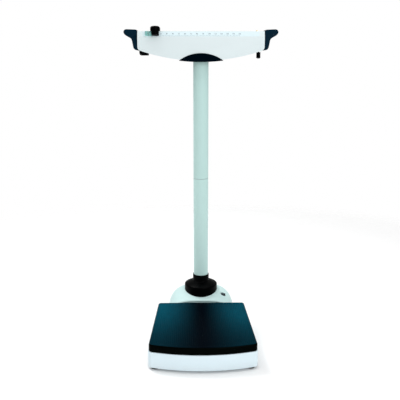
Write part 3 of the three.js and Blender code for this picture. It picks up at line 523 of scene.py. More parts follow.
GROUND_STEEL = Finish(
    "ground_steel", (0.56, 0.58, 0.6), 0.28,
    metallic=1.0, grain_scale=1800.0, grain_stretch=(0.05, 1.0, 1.0),
)
PLATED_STEEL = Finish(
    "plated_steel", (0.5, 0.53, 0.56), 0.34, metallic=1.0, drift=0.1, drift_scale=60.0
)
POISE_PAINT = Finish(
    "poise_paint", (0.006, 0.007, 0.008), 0.4, drift=0.25, specular=0.1, grain_depth=0.08 * MM
)
BRASS = Finish(
    "brass", (0.62, 0.45, 0.18), 0.3, metallic=1.0, drift=0.08, grain_stretch=(0.04, 1.0, 1.0)
)
WINDOW_TINT = ClearFinish("window_tint", (0.16, 0.55, 0.5), 0.08, grain_depth=0.004 * MM, alpha=0.5)
VIAL_FLUID = ClearFinish("vial_fluid", (0.05, 0.08, 0.1), 0.05, grain_depth=0.002 * MM, alpha=0.75)
NUMBER_INK = Finish("number_ink", (0.14, 0.2, 0.24), 0.5, specular=0.1)
HAIRLINE_PAINT = Finish("hairline_paint", (0.3, 0.01, 0.01), 0.5, drift=0.2)
FLOOR_PAINT = FadingFinish(
    "floor_paint", (0.93, 0.93, 0.93), 0.7,
    drift=0.004, drift_scale=2.0, specular=0.1, grain_depth=0.01 * MM,
)


# ------------------------------------------------------------------ mesh tools


class Bench:
    """Turns bmeshes into finished pieces of the scale."""

    @staticmethod
    def put_away(
        name: str, mesh: bmesh.types.BMesh, finish: Finish, crease: float = 35.0
    ) -> bpy.types.Object:
        """Makes an object of a bmesh, smooth except at sharp edges.

        Args:
            name: The object's name.
            mesh: The bmesh, which is freed.
            finish: The object's finish.
            crease: The angle past which an edge stays sharp, in degrees.

        Returns:
            The new object.
        """
        limit = math.radians(crease)
        for face in mesh.faces:
            face.smooth = True
        for edge in mesh.edges:
            if len(edge.link_faces) == 2:
                edge.smooth = edge.calc_face_angle(0.0) < limit
        data = bpy.data.meshes.new(name)
        mesh.to_mesh(data)
        mesh.free()
        made = bpy.data.objects.new(name, data)
        bpy.context.scene.collection.objects.link(made)
        data.materials.append(finish.material())
        return made

    @staticmethod
    def turned(profile: Profile, centre: Vector, axis: str = "Z", steps: int = 72) -> bmesh.types.BMesh:
        """Spins a profile of (radius, distance along the axis) points.

        Args:
            profile: The points; it starts and ends on the axis, or closes on itself.
            centre: Where the axis runs; the profile's distances are added to it.
            axis: "Z" for an upright axis, "X" for one that lies across.
            steps: Facets round the axis.

        Returns:
            The closed mesh.
        """
        mesh = bmesh.new()
        points = [mesh.verts.new((radius, 0.0, along)) for radius, along in profile]
        edges = [mesh.edges.new(pair) for pair in zip(points, points[1:])]
        bmesh.ops.spin(
            mesh,
            geom=points + edges,
            cent=(0, 0, 0),
            axis=(0, 0, 1),
            angle=math.tau,
            steps=steps,
            use_merge=True,
        )
        bmesh.ops.remove_doubles(mesh, verts=mesh.verts, dist=MERGE)
        bmesh.ops.recalc_face_normals(mesh, faces=mesh.faces)
        turn = Matrix.Rotation(math.pi / 2, 4, "Y") if axis == "X" else Matrix.Identity(4)
        bmesh.ops.transform(mesh, matrix=Matrix.Translation(centre) @ turn, verts=mesh.verts)
        return mesh

    @staticmethod
    def slab(outline: list[Vector], along: Vector) -> bmesh.types.BMesh:
        """Extrudes a flat outline.

        Args:
            outline: The outline's corners in order.
            along: The extrusion.

        Returns:
            The closed mesh.
        """
        mesh = bmesh.new()
        face = mesh.faces.new([mesh.verts.new(point) for point in outline])
        grown = bmesh.ops.extrude_face_region(mesh, geom=[face])
        moved = [item for item in grown["geom"] if isinstance(item, bmesh.types.BMVert)]
        bmesh.ops.translate(mesh, vec=along, verts=moved)
        bmesh.ops.recalc_face_normals(mesh, faces=mesh.faces)
        return mesh

    @staticmethod
    def block(low: Vector, high: Vector) -> bmesh.types.BMesh:
        """A block between two corners.

        Args:
            low: The lower corner.
            high: The upper corner.

        Returns:
            The closed mesh.
        """
        mesh = bmesh.new()
        size = high - low
        bmesh.ops.create_cube(mesh, size=1.0)
        bmesh.ops.scale(mesh, vec=size, verts=mesh.verts)
        bmesh.ops.translate(mesh, vec=low + size / 2, verts=mesh.verts)
        return mesh

    @staticmethod
    def post(radius: float, low: float, high: float, place: Vector, steps: int = 72) -> bmesh.types.BMesh:
        """An upright round cutter.

        Args:
            radius: Its radius.
            low: Its lower end.
            high: Its upper end.
            place: Where its axis stands, at height 0.
            steps: Facets round it.

        Returns:
            The closed mesh.
        """
        return Bench.turned(rounded(radius, low, high, CUTTER_EDGE), place, steps=steps)

    @staticmethod
    def soften(
        mesh: bmesh.types.BMesh,
        width: float,
        segments: int = 3,
        crease: float = 40.0,
        where: Callable[[bmesh.types.BMEdge], bool] = lambda edge: True,
    ) -> None:
        """Rounds sharp edges.

        Args:
            mesh: The mesh to change.
            width: The rounding's width.
            segments: Facets across it.
            crease: The angle past which an edge counts as sharp, in degrees.
            where: Picks the edges among the sharp ones.
        """
        limit = math.radians(crease)
        sharp = [
            edge
            for edge in mesh.edges
            if len(edge.link_faces) == 2 and edge.calc_face_angle(0.0) > limit and where(edge)
        ]
        bmesh.ops.bevel(
            mesh,
            geom=sharp,
            offset=width,
            offset_type="OFFSET",
            affect="EDGES",
            segments=segments,
            profile=BEVEL_PROFILE,
            clamp_overlap=True,
            material=ANY_MATERIAL,
        )

    @staticmethod
    def copy_of(node: str) -> bmesh.types.BMesh:
        """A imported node's mesh with its loose triangles merged into flat faces.

        Args:
            node: The node's name.

        Returns:
            A copy that can be reshaped.
        """
        mesh = bmesh.new()
        mesh.from_mesh(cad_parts[node].data)
        bmesh.ops.remove_doubles(mesh, verts=mesh.verts, dist=MERGE)
        bmesh.ops.dissolve_limit(
            mesh,
            angle_limit=math.radians(FLAT_ANGLE),
            verts=mesh.verts,
            edges=mesh.edges,
            use_dissolve_boundaries=False,
        )
        return mesh

    @staticmethod
    def apply(piece: bpy.types.Object, modifier: bpy.types.Modifier) -> None:
        """Bakes a modifier into the piece's mesh."""
        with bpy.context.temp_override(object=piece, active_object=piece, selected_objects=[piece]):
            bpy.ops.object.modifier_apply(modifier=modifier.name)

    @staticmethod
    def thicken(piece: bpy.types.Object, wall: float) -> None:
        """Gives an open shell its wall, on the inside.

        Args:
            piece: The shell, with its faces pointing out.
            wall: The wall's thickness.
        """
        modifier = piece.modifiers.new("wall", "SOLIDIFY")
        modifier.thickness = wall
        modifier.offset = -1.0
        modifier.use_even_offset = True
        modifier.use_rim = True
        Bench.apply(piece, modifier)

    @staticmethod
    def carve(piece: bpy.types.Object, cutters: list[bmesh.types.BMesh], how: str = "DIFFERENCE") -> None:
        """Cuts a piece with closed meshes and throws the cutters away.

        Args:
            piece: The piece to cut.
            cutters: The closed meshes.
            how: "DIFFERENCE" to take them away, "INTERSECT" to keep only what is inside.
        """
        for number, cutter in enumerate(cutters):
            data = bpy.data.meshes.new(f"cutter_{number}")
            cutter.to_mesh(data)
            cutter.free()
            tool = bpy.data.objects.new(f"cutter_{number}", data)
            bpy.context.scene.collection.objects.link(tool)
            modifier = piece.modifiers.new("cut", "BOOLEAN")
            modifier.operation = how
            modifier.solver = "EXACT"
            modifier.object = tool
            Bench.apply(piece, modifier)
            bpy.data.objects.remove(tool)
            bpy.data.meshes.remove(data)

    @staticmethod
    def fit(piece: bpy.types.Object, body: str, slot: str, *nodes: str) -> bpy.types.Object:
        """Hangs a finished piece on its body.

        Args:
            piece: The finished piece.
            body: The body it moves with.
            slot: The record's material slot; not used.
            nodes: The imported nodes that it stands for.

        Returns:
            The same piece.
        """
        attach(piece, body)
        if nodes:
            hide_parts(*nodes)
        log.info("%s rides on %s, %d faces", piece.name, body, len(piece.data.polygons))
        return piece


def arc(centre: tuple[float, float], radius: float, start: float, end: float, steps: int) -> Profile:
    """Points round an arc.

    Args:
        centre: The arc's centre.
        radius: Its radius.
        start: The first angle, in degrees.
        end: The last angle, in degrees.
        steps: Stretches between the points.

    Returns:
        The points, both ends included.
    """
    angles = [math.radians(start + (end - start) * i / steps) for i in range(steps + 1)]
    return [(centre[0] + radius * math.cos(a), centre[1] + radius * math.sin(a)) for a in angles]


def rounded(radius: float, low: float, high: float, edge: float, bore: float = 0.0) -> Profile:
    """A disc's or a ring's profile with rounded outer edges.

    Args:
        radius: The outer radius.
        low: The lower end.
        high: The upper end.
        edge: The edges' rounding.
        bore: The radius of the hole, or 0 for none.

    Returns:
        The profile, closed on itself or on the axis.
    """
    points = [(bore, low)]
    points += arc((radius - edge, low + edge), edge, -90, 0, 5)
    points += arc((radius - edge, high - edge), edge, 0, 90, 5)
    points.append((bore, high))
    if bore:
        points.append((bore, low))
    return points


def centre_of(node: str) -> Vector:
    """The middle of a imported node's box."""
    low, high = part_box(node)
    return (low + high) / 2


def foot_of(node: str) -> Vector:
    """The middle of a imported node's box, brought down to height 0."""
    middle = centre_of(node)
    return Vector((middle.x, middle.y, 0.0))


@dataclass(frozen=True)
class BowedOutline:
    """Two straight flanks, a straight upper edge and a lower edge bowed outwards, with round corners."""

    upper_half: float
    lower_half: float
    lower: float
    upper: float
    apex: float
    radius: float
    lower_corner: float
    upper_corner: float

    def grown(self, by: float) -> "BowedOutline":
        """The same outline pushed outwards, or drawn in where `by` is negative."""
        return BowedOutline(
            self.upper_half + by,
            self.lower_half + by,
            self.lower,
            self.upper + by,
            self.apex - by,
            self.radius + by,
            max(SMALLEST_CORNER, self.lower_corner + by),
            max(SMALLEST_CORNER, self.upper_corner + by),
        )

    def points(self, bow_steps: int = 48, corner_steps: int = 8) -> Profile:
        """Works the outline out.

        Args:
            bow_steps: Facets of the bowed edge.
            corner_steps: Facets of each corner.

        Returns:
            The corners in order, none of them twice.
        """
        slope = (self.lower_half - self.upper_half) / (self.lower - self.upper)
        stretch = math.hypot(1.0, slope)
        centre = self.apex + self.radius
        offset = self.upper_half - slope * self.upper - self.lower_corner * stretch
        a = slope * slope + 1.0
        b = offset * slope - centre
        c = offset * offset + centre * centre - (self.radius - self.lower_corner) ** 2
        low_y = (-b - math.sqrt(b * b - a * c)) / a
        low_x = offset + slope * low_y
        bow = math.degrees(math.atan2(low_y - centre, low_x))
        flank = math.degrees(math.atan2(-slope, 1.0))
        top_y = self.upper - self.upper_corner
        top_x = self.upper_half + slope * (top_y - self.upper) - self.upper_corner * stretch
        outline = arc((0.0, centre), self.radius, -180.0 - bow, bow, bow_steps)
        outline += arc((low_x, low_y), self.lower_corner, bow, flank, corner_steps)[1:]
        outline += arc((top_x, top_y), self.upper_corner, flank, 90.0, corner_steps)
        outline += arc((-top_x, top_y), self.upper_corner, 90.0, 180.0 - flank, corner_steps)
        outline += arc((-low_x, low_y), self.lower_corner, 180.0 - flank, 180.0 - bow, corner_steps)[:-1]
        return outline


# ------------------------------------------------------------------ base and platform


@dataclass
class Platform:
    """The rubber-covered platform with its ribbed tread, and the steel plate under it."""

    rear_half: float = 152.2 * MM
    front_half: float = 167.0 * MM
    front_corner_y: float = -230.0 * MM
    bow_radius: float = 519.0 * MM
    front_corner: float = 14.0 * MM
    rear_corner: float = 10.0 * MM
    rim: float = 7.5 * MM  # plain border round the ribs
    sunk: float = 1.6 * MM  # depth of the ribs' bed below the border
    rib_pitch: float = 6.0 * MM
    rib_half: float = 2.1 * MM
    rib_height: float = 1.1 * MM
    skirt: float = 3.0 * MM
    top: float = 4.0 * MM
    edge: float = 5.6 * MM
    edge_steps: int = 6
    foot_edge: float = 0.6 * MM
    bed_edge: float = 0.4 * MM
    bed_air: float = 0.05 * MM  # between the tread and its bed
    rib_steps: int = 5
    black_share: float = 0.2  # how far down the rounded edge the black of the skirt starts

    def __post_init__(self) -> None:
        """Reads the platform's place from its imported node."""
        self.low, self.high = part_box("platform_mat")

    def outline(self, grow: float) -> Profile:
        """The plan outline, grown or drawn in."""
        plain = BowedOutline(
            self.rear_half,
            self.front_half,
            self.front_corner_y,
            self.high.y,
            self.low.y,
            self.bow_radius,
            self.front_corner,
            self.rear_corner,
        )
        return plain.grown(grow).points()

    def stack(self, levels: list[tuple[float, float]]) -> bmesh.types.BMesh:
        """Skins the plan outline at several levels, closed at both ends.

        Args:
            levels: How far the outline is grown, and its height, level by level.

        Returns:
            The closed mesh.
        """
        mesh = bmesh.new()
        rings = [
            [mesh.verts.new((x, y, height)) for x, y in self.outline(grow)] for grow, height in levels
        ]
        for lower, upper in zip(rings, rings[1:]):
            for here, there in zip(range(len(lower)), [*range(1, len(lower)), 0]):
                mesh.faces.new([lower[here], lower[there], upper[there], upper[here]])
        mesh.faces.new(rings[0])
        mesh.faces.new(rings[-1])
        bmesh.ops.recalc_face_normals(mesh, faces=mesh.faces)
        return mesh

    def build(self) -> None:
        """Makes the mat and its tread."""
        self._mat()
        self._tread()

    def _mat(self) -> None:
        """Makes the cover: a skirt, a rounded edge, a plain border and the ribs' bed."""
        top, bottom = self.high.z, self.low.z
        bed = -self.rim - self.bed_edge
        levels = [(-self.skirt, top - self.top), (-self.skirt, bottom)]
        levels += [(-self.foot_edge, bottom), (0.0, bottom + self.foot_edge)]
        levels += arc((-self.edge, top - self.edge), self.edge, 0, 90, self.edge_steps)
        levels += [(-self.rim, top), (bed, top - self.bed_edge), (bed, top - self.sunk)]
        mesh = self.stack(levels)
        piece = Bench.put_away("mat_cover", mesh, MAT_RUBBER)
        self._darken_skirt(piece)
        Bench.fit(piece, "platform", "mat_rubber", "platform_mat")

    def _darken_skirt(self, piece: bpy.types.Object) -> None:
        """Gives the upright sides their own glossier black.

        Args:
            piece: The mat.
        """
        piece.data.materials.append(SKIRT_RUBBER.material())
        limit = self.high.z - self.edge * self.black_share
        for face in piece.data.polygons:
            if face.center.z < limit:
                face.material_index = 1

    def _tread(self) -> None:
        """Makes the ribbed field that lies in the bed."""
        foot = self.high.z - self.sunk + self.bed_air
        trough = self.high.z - self.rib_height
        count = int(self.front_half / self.rib_pitch)
        reach = (count + 0.5) * self.rib_pitch
        profile = [(-reach, foot), (-reach, trough)]
        for number in range(-count, count + 1):
            middle = number * self.rib_pitch
            for step in range(self.rib_steps + 1):
                a = math.radians(180.0 - 180.0 * step / self.rib_steps)
                x, z = self.rib_half * math.cos(a), self.rib_height * math.sin(a)
                profile.append((middle + x, trough + z))
        profile += [(reach, trough), (reach, foot)]
        length = Vector((0, self.high.y - self.low.y, 0))
        mesh = Bench.slab([Vector((x, self.low.y, z)) for x, z in profile], length)
        piece = Bench.put_away("mat_tread", mesh, MAT_RUBBER, 30.0)
        bed = self.outline(-self.rim - self.bed_edge - GAP)
        field = [Vector((x, y, foot - CUT_PAST)) for x, y in bed]
        Bench.carve(piece, [Bench.slab(field, Vector((0, 0, 4 * CUT_PAST)))], "INTERSECT")
        Bench.fit(piece, "platform", "mat_rubber")


@dataclass
class BasePan:
    """The white tray under the platform, with the feet and castors that carry it."""

    edge: float = 1.4 * MM
    lip_reach: float = 0.05 * MM
    upright: float = 0.3  # most that an upright face's normal rises
    feet: tuple[str, ...] = ("front_left", "front_right", "rear_left", "rear_right")

    def build(self) -> None:
        """Makes the tray, the feet and the castors."""
        self._tray()
        for place in self.feet:
            LevellingFoot().build(place)
        for side in ("left", "right"):
            Castor().build(side)

    def _tray(self) -> None:
        """Makes the tray with rounded lips along its top and bottom edges."""
        mesh = Bench.copy_of("base_pan")
        low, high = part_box("base_pan")

        def on_lip(edge: bmesh.types.BMEdge) -> bool:
            """True on the outer edges at the top and the bottom of the tray."""
            heights = [vertex.co.z for vertex in edge.verts]
            level = any(max(abs(h - z) for h in heights) < self.lip_reach for z in (low.z, high.z))
            return level and any(abs(face.normal.z) < self.upright for face in edge.link_faces)

        Bench.soften(mesh, self.edge, crease=50.0, where=on_lip)
        Bench.fit(Bench.put_away("base_tray", mesh, WHITE_CASE, 30.0), "base", "pan_paint", "base_pan")


@dataclass
class LevellingFoot:
    """A levelling foot: a grooved rubber pad on a threaded stem."""

    stem: float = 4.0 * MM
    stem_tip: float = 0.6 * MM
    pad_height: float = 7.7 * MM
    pad_heel: float = 1.2 * MM  # rounding under the pad
    pad_round: float = 2.5 * MM
    groove: float = 0.8 * MM
    groove_z: tuple[float, ...] = (2.6 * MM, 3.0 * MM, 3.6 * MM, 4.0 * MM)  # outside, in, in, outside
    thread_margin: float = 0.8 * MM
    thread_pitch: float = 1.25 * MM
    thread_depth: float = 0.5 * MM

    def build(self, place: str) -> None:
        """Turns a foot.

        Args:
            place: Which corner it stands under.
        """
        node = f"levelling_foot_{place}"
        low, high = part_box(node)
        radius = (high.x - low.x) / 2
        pad_top = low.z + self.pad_height
        profile = [(0.0, low.z), (radius - self.pad_round, low.z)]
        profile += arc((radius - self.pad_heel, low.z + self.pad_heel), self.pad_heel, -90, 0, 4)
        for inset, height in zip((0.0, self.groove, self.groove, 0.0), self.groove_z):
            profile.append((radius - inset, low.z + height))
        profile += arc((radius - self.pad_round, pad_top - self.pad_round), self.pad_round, 10, 90, 4)
        profile += [(self.stem, pad_top)]
        profile += self._thread(pad_top + self.thread_margin, high.z - self.thread_margin)
        profile += [(self.stem - self.stem_tip, high.z), (0.0, high.z)]
        mesh = Bench.turned(profile, foot_of(node), steps=48)
        piece = Bench.put_away(f"foot_{place}", mesh, FOOT_RUBBER)
        Bench.fit(piece, f"foot_{place}", "black_plastic", node)

    def _thread(self, low: float, high: float) -> Profile:
        """The rings of a thread, as a profile.

        Args:
            low: Where it starts.
            high: Where it ends.

        Returns:
            Crests and roots in turn.
        """
        turns = int((high - low) / self.thread_pitch)
        pitch = (high - low) / turns
        points = []
        for turn in range(turns):
            points.append((self.stem, low + (turn + 0.25) * pitch))
            points.append((self.stem - self.thread_depth, low + (turn + 0.75) * pitch))
        return points


@dataclass
class Castor:
    """A transport wheel with a tyre, a hub and a recessed web between them."""

    bore: float = 3.3 * MM
    hub: float = 7.0 * MM
    web: tuple[float, float] = (7.6 * MM, 11.0 * MM)  # inner and outer radius
    web_depth: float = 1.6 * MM
    tyre: float = 11.6 * MM  # inner radius
    tyre_set: float = 0.4 * MM  # how far the tyre's side is behind the hub's
    tyre_round: float = 2.2 * MM

    def build(self, side: str) -> None:
        """Turns a wheel.

        Args:
            side: "left" or "right".
        """
        node = f"castor_wheel_{side}"
        low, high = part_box(node)
        half = (high.x - low.x) / 2
        radius = (high.z - low.z) / 2
        profile = [(self.bore, -half), (self.hub, -half)]
        profile += [(edge, -half + self.web_depth) for edge in self.web]
        profile += [(self.tyre, -half + self.tyre_set)]
        profile += arc((radius - self.tyre_round, -half + self.tyre_round), self.tyre_round, -90, 0, 5)
        profile += [(distance, -along) for distance, along in reversed(profile)]
        profile.append(profile[0])
        mesh = Bench.turned(profile, centre_of(node), "X", 64)
        wheel = Bench.put_away(f"castor_tyre_{side}", mesh, CASTOR_RUBBER)
        Bench.fit(wheel, f"castor_{side}", "wheel_rubber", node)


@dataclass
class ColumnHousing:
    """The white domed shell behind the platform, with the round level let into its right shoulder."""

    half_width: float = 119.0 * MM
    ridge_y: float = 205.0 * MM
    front_fall: float = 2.59  # per metre
    across: float = 3.0  # superellipse power of a section
    along: float = 2.6  # superellipse power of the plan at the rear
    wall: float = 4.5 * MM
    apron_foot: float = 62.0 * MM
    apron_sheet: float = 2.5 * MM
    tail: float = 0.97  # share of the last quarter turn that the rear end reaches
    tail_past: float = 0.09 * MM  # how far past its packed box the rear end's curve is aimed
    apron_set: float = 1.0 * MM
    apron_steps: int = 48
    across_steps: int = 64
    front_steps: int = 10
    rear_steps: int = 30
    column_hole: float = 30.0 * MM
    column_hole_foot: float = 60.0 * MM
    level_hole_foot: float = 70.0 * MM
    hole_top: float = 140.0 * MM
    well_foot: float = -10.0 * MM
    well_side: float = 1.2 * MM
    well_outward: float = 8.0 * MM
    well_front: float = 3.0 * MM
    well_rear: float = 11.0 * MM
    well_top: float = 3.0 * MM

    def __post_init__(self) -> None:
        """Reads the shell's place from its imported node."""
        self.low, self.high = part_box("column_housing")
        self.column = centre_of("lower_tube")
        self.rear_y = self.high.y + self.tail_past

    def _fade(self, share: float) -> float:
        """One up front, falling to nothing at the rear end along a superellipse."""
        return 1.0 if share <= 0.0 else (1.0 - min(share, 1.0) ** self.along) ** (1.0 / self.along)

    def section(self, y: float) -> tuple[float, float]:
        """Half the width and the height of the shell.

        Args:
            y: The place along the shell.

        Returns:
            Half the width, and the height above the lower edge.
        """
        half = self.half_width * self._fade((y - self.column.y) / (self.rear_y - self.column.y))
        ahead = max(0.0, self.ridge_y - y)
        ridge = self.high.z - self.front_fall * ahead * ahead
        height = (ridge - self.low.z) * self._fade((y - self.ridge_y) / (self.rear_y - self.ridge_y))
        return half, height

    def height_at(self, x: float, y: float) -> float:
        """The height of the shell's outer surface over a point of the floor.

        Args:
            x: The place across.
            y: The place along.

        Returns:
            The height above the floor.
        """
        half, height = self.section(y)
        share = min(1.0, abs(x) / half)
        return self.low.z + height * (1.0 - share**self.across) ** (1.0 / self.across)

    def build(self) -> None:
        """Makes the shell and the level."""
        self._shell()
        SpiritLevel().build()

    def _shell(self) -> None:
        """Bends a grid to the shell's form, thickens it and cuts its openings."""
        lead, length = self.column.y - self.low.y, self.rear_y - self.column.y
        stations = [self.low.y + lead * i / self.front_steps for i in range(self.front_steps)]
        for i in range(self.rear_steps + 1):
            turn = math.pi / 2 * self.tail * i / self.rear_steps
            stations.append(self.column.y + length * math.sin(turn))
        mesh = bmesh.new()
        rows = len(stations) - 1
        bmesh.ops.create_grid(mesh, x_segments=self.across_steps, y_segments=rows, size=0.5)
        for vertex in mesh.verts:
            angle = math.pi * (0.5 - vertex.co.x)
            y = stations[round((vertex.co.y + 0.5) * rows)]
            half, height = self.section(y)
            cos, sin = math.cos(angle), max(0.0, math.sin(angle))
            reach = (abs(cos) ** self.across + sin**self.across) ** (-1.0 / self.across)
            vertex.co = Vector((half * reach * cos, y, self.low.z + height * reach * sin))
        end = stations[-1] - SAME_PLACE
        tail = [e for e in mesh.edges if e.is_boundary and all(v.co.y > end for v in e.verts)]
        bmesh.ops.contextual_create(mesh, geom=tail)
        bmesh.ops.recalc_face_normals(mesh, faces=mesh.faces)
        if sum(face.normal.z for face in mesh.faces) < 0:
            bmesh.ops.reverse_faces(mesh, faces=mesh.faces)
        piece = Bench.put_away("housing_shell", mesh, HOUSING_WHITE_SHADED)
        Bench.thicken(piece, self.wall)
        Bench.carve(piece, self._openings())
        Bench.fit(piece, "base", "white_shell", "column_housing")
        self._apron()

    def _apron(self) -> None:
        """Closes the shell's front above the lever's gate with a thin panel."""
        y = self.low.y + self.apron_set
        half, height = self.section(y)
        inner_half, inner_height = half - self.wall - GAP, height - self.wall - GAP
        foot = self.apron_foot - self.low.z
        start = math.degrees(math.asin((foot / inner_height) ** (self.across / 2.0)))
        outline = []
        for step in range(self.apron_steps + 1):
            angle = math.radians(start + (180.0 - 2.0 * start) * step / self.apron_steps)
            cos, sin = math.cos(angle), math.sin(angle)
            x = inner_half * math.copysign(abs(cos) ** (2.0 / self.across), cos)
            outline.append(Vector((x, y, self.low.z + inner_height * sin ** (2.0 / self.across))))
        mesh = Bench.slab(outline, Vector((0, self.apron_sheet, 0)))
        Bench.fit(Bench.put_away("housing_apron", mesh, HOUSING_WHITE_SHADED, 30.0), "base", "white_shell")

    def _openings(self) -> list[bmesh.types.BMesh]:
        """The holes for the column and the level, and the wells of the castors."""
        level_low, level_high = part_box("spirit_level_cup")
        level_radius = (level_high.x - level_low.x) / 2 + GAP
        column, level = Vector((0, self.column.y, 0)), foot_of("spirit_level_cup")
        tools = [
            Bench.post(self.column_hole, self.column_hole_foot, self.hole_top, column),
            Bench.post(level_radius, self.level_hole_foot, self.hole_top, level),
        ]
        for side in ("left", "right"):
            low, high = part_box(f"castor_wheel_{side}")
            outward = self.well_outward if side == "right" else 0.0
            inward = self.well_outward if side == "left" else 0.0
            corner = Vector((low.x - self.well_side - inward, low.y - self.well_front, self.well_foot))
            opposite = high + Vector((self.well_side + outward, self.well_rear, self.well_top))
            tools.append(Bench.block(corner, opposite))
        return tools


@dataclass
class SpiritLevel:
    """The round level: a black cup with a clear domed vial."""

    wall: float = 1.5 * MM
    foot_edge: float = 0.6 * MM
    lip: float = 0.7 * MM
    dome: float = 1.2 * MM
    dome_angles: tuple[int, ...] = (12, 25, 38, 51, 64, 77)

    def build(self) -> None:
        """Turns the cup and the vial."""
        low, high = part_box("spirit_level_cup")
        place = foot_of("spirit_level_cup")
        radius = (high.x - low.x) / 2
        seat = low.z + self.wall
        cup = [(0.0, low.z), (radius - self.foot_edge, low.z), (radius, low.z + self.foot_edge)]
        cup += arc((radius - self.lip, high.z - self.lip), self.lip, 0, 180, 6)
        cup += [(radius - self.wall, seat), (0.0, seat)]
        ring = Bench.put_away("level_ring", Bench.turned(cup, place), BLACK_PLASTIC)
        Bench.fit(ring, "base", "black_plastic", "spirit_level_cup")
        low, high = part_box("spirit_level_vial")
        reach = (high.x - low.x) / 2
        shoulder = high.z - self.dome
        glass = [(0.0, low.z), (reach, low.z), (reach, shoulder)]
        for angle in map(math.radians, self.dome_angles):
            glass.append((reach * math.cos(angle), shoulder + self.dome * math.sin(angle)))
        glass.append((0.0, high.z))
        vial = Bench.put_away("level_vial", Bench.turned(glass, place, steps=48), VIAL_FLUID)
        Bench.fit(vial, "base", "level_vial", "spirit_level_vial")


@dataclass
class ColumnFoot:
    """The black flange and collar that the column stands in, shaped to the housing under it."""

    radius: float = 59.0 * MM
    rim_z: float = 129.0 * MM
    cone_z: float = 139.0 * MM
    collar_radius: float = 29.0 * MM
    bore: float = 26.3 * MM
    wall: float = 4.0 * MM
    rim_edge: float = 5.0 * MM
    under: float = 118.0 * MM  # where the lower edge starts, before it is let down
    sleeve: float = 3.0 * MM
    ceiling_fall: float = 2.0 * MM
    cone_reach: float = 7.0 * MM
    cone_sag: float = 0.8 * MM
    fillet: float = 4.0 * MM
    fillet_rise: float = 3.6 * MM
    collar_round: float = 1.8 * MM
    lip: float = 0.6 * MM

    def build(self, housing: ColumnHousing) -> None:
        """Turns the flange and lets its lower edge down to the housing.

        Args:
            housing: The shell that it stands on.
        """
        _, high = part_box("column_foot")
        under, ceiling = self.under, self.rim_z - self.wall
        inner, outer, hollow = self.bore + self.sleeve, self.radius, self.radius - self.wall
        profile = [(self.bore, under), (inner, under), (inner, ceiling)]
        profile += [(hollow, ceiling - self.ceiling_fall), (hollow, under), (outer, under)]
        profile += arc((outer - self.rim_edge, self.rim_z - self.rim_edge), self.rim_edge, 0, 72, 6)
        profile += [(self.collar_radius + self.cone_reach, self.cone_z - self.cone_sag)]
        bend = (self.collar_radius + self.fillet, self.cone_z + self.fillet_rise)
        profile += arc(bend, self.fillet, -108, -180, 4)
        shoulder = (self.collar_radius - self.collar_round, high.z - self.collar_round)
        profile += arc(shoulder, self.collar_round, 0, 90, 4)
        profile += [(self.bore + self.lip, high.z), (self.bore, high.z - self.lip), (self.bore, under)]
        place = Vector((0.0, centre_of("column_foot").y, 0.0))
        mesh = Bench.turned(profile, place, steps=128)
        for vertex in mesh.verts:
            if abs(vertex.co.z - under) < MERGE:
                vertex.co.z = min(under, housing.height_at(vertex.co.x, vertex.co.y) + GAP)
        piece = Bench.put_away("column_flange", mesh, BLACK_PLASTIC)
        Bench.fit(piece, "base", "black_plastic", "column_foot")


@dataclass
class Column:
    """The two tubes and the sleeve that joins them."""

    wall: float = 2.5 * MM
    chamfer: float = 0.5 * MM

    def build(self) -> None:
        """Makes both tubes; the sleeve stays as packed."""
        for node, name in (("lower_tube", "column_lower"), ("upper_tube", "column_upper")):
            low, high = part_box(node)
            radius = (high.x - low.x) / 2
            profile = rounded(radius, low.z, high.z, self.chamfer, radius - self.wall)
            mesh = Bench.turned(profile, foot_of(node), steps=128)
            Bench.fit(Bench.put_away(name, mesh, TUBE_METAL), "base", "tube_metal", node)


# ------------------------------------------------------------------ head


class Face(Enum):
    """Which way a part of the head looks."""

    FRONT = -1
    REAR = 1


GRIP_BENDS = (  # control point and end of each bend of its outline, in millimetres
    ((222.0, 960.0), (224.0, 968.0)),
    ((225.75, 977.5), (227.5, 987.0)),
    ((228.5, 993.0), (233.0, 996.5)),
    ((237.0, 998.75), (241.0, 1001.0)),
    ((254.0, 1007.0), (255.5, 1015.5)),
    ((255.5, 1023.5), (247.0, 1025.0)),
    ((232.0, 1024.5), (217.0, 1024.0)),
)


